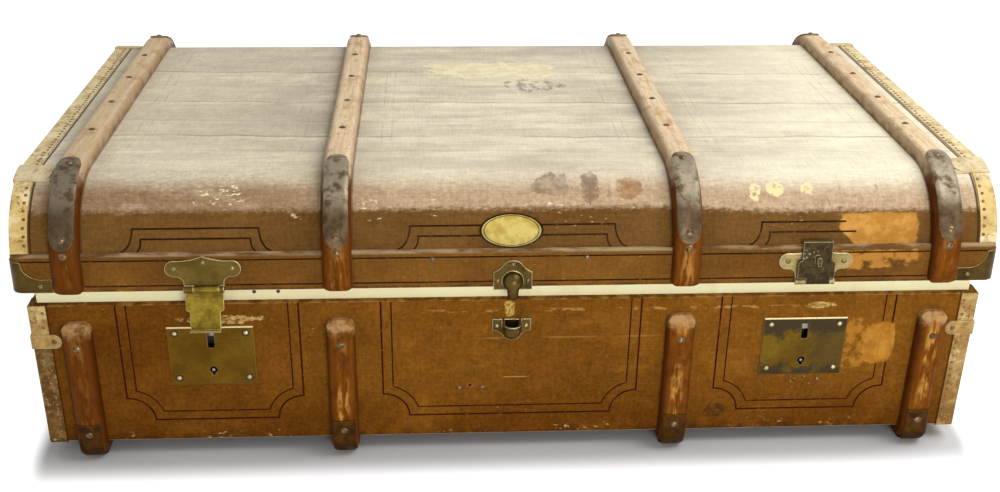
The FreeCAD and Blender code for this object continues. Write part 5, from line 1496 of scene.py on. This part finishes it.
def seen_directly(b):
    """1 for what the camera sees itself, or sees in metal or glass."""
    path = b.put("LightPath").outputs
    return b.either(path["Is Camera Ray"], path["Is Glossy Ray"], path["Is Transmission Ray"])


def floor():
    bm = bmesh.new()
    bmesh.ops.create_grid(bm, x_segments=1, y_segments=1, size=FLOOR_HALF)
    mesh = bpy.data.meshes.new("floor")
    bm.to_mesh(mesh)
    bm.free()
    material = bpy.data.materials.new("floor_paper")
    material.use_nodes = True
    material.node_tree.nodes.clear()
    b = Bench(material.node_tree)
    paper = b.put("BsdfDiffuse", {"Color": (FLOOR_TONE, FLOOR_TONE, FLOOR_TONE, 1)})
    x, y, _ = b.split(b.put("TexCoord").outputs["Object"])
    # Painted shadow: the floor glows white only away from the trunk, sooner beside its ends
    beside = b.calc("MAXIMUM", b.calc("SUBTRACT", b.calc("ABSOLUTE", x), BODY_X), 0.0)
    beside = b.part(beside, GLOW_ENDS)
    before = b.calc("MAXIMUM", b.calc("SUBTRACT", b.calc("ABSOLUTE", y), BODY_Y), 0.0)
    away = b.calc("SQRT", b.calc("ADD", b.both(beside, beside), b.both(before, before)))
    white = b.both(seen_directly(b), b.ease(away, GLOW_NEAR, GLOW_FAR))
    glow = b.put("Emission", {"Strength": b.part(white, FLOOR_GLOW)})
    both = b.put("AddShader", {0: paper.outputs[0], 1: glow.outputs[0]})
    b.put("OutputMaterial", {"Surface": both.outputs[0]})
    mesh.materials.append(material)
    obj = bpy.data.objects.new("floor", mesh)
    obj.location.z = -FLOOR_DROP
    bpy.context.scene.collection.objects.link(obj)


def studio_light():
    world = bpy.data.worlds.new("studio")
    world.use_nodes = True
    world.node_tree.nodes.clear()
    b = Bench(world.node_tree)
    level = b.scale(seen_directly(b), SKY_LEVEL, 1.0)
    sky = b.put("Background", {"Color": (1, 1, 1, 1), "Strength": level})
    b.put("OutputWorld", {"Surface": sky.outputs[0]})
    bpy.context.scene.world = world
    for name, (place, across, watts) in LAMPS.items():
        soft_lamp(name, place, across, watts)


def soft_lamp(name, place, across, watts):
    """One round soft lamp aimed at the trunk."""
    lamp = bpy.data.lights.new(name, "AREA")
    lamp.shape = "DISK"
    lamp.size = across
    lamp.energy = watts
    obj = bpy.data.objects.new(name, lamp)
    obj.location = place
    aim = LAMP_AIM - Vector(place)
    obj.rotation_euler = aim.to_track_quat("-Z", "Y").to_euler()
    bpy.context.scene.collection.objects.link(obj)


def camera():
    data = bpy.data.cameras.new("camera")
    data.sensor_width = SENSOR
    data.lens = LENS
    obj = bpy.data.objects.new("camera", data)
    obj.location = CAMERA_PLACE
    obj.rotation_euler = [math.radians(a) for a in CAMERA_TURN]
    bpy.context.scene.collection.objects.link(obj)
    bpy.context.scene.camera = obj


floor()
studio_light()
camera()
bpy.context.scene.view_settings.view_transform = "Standard"
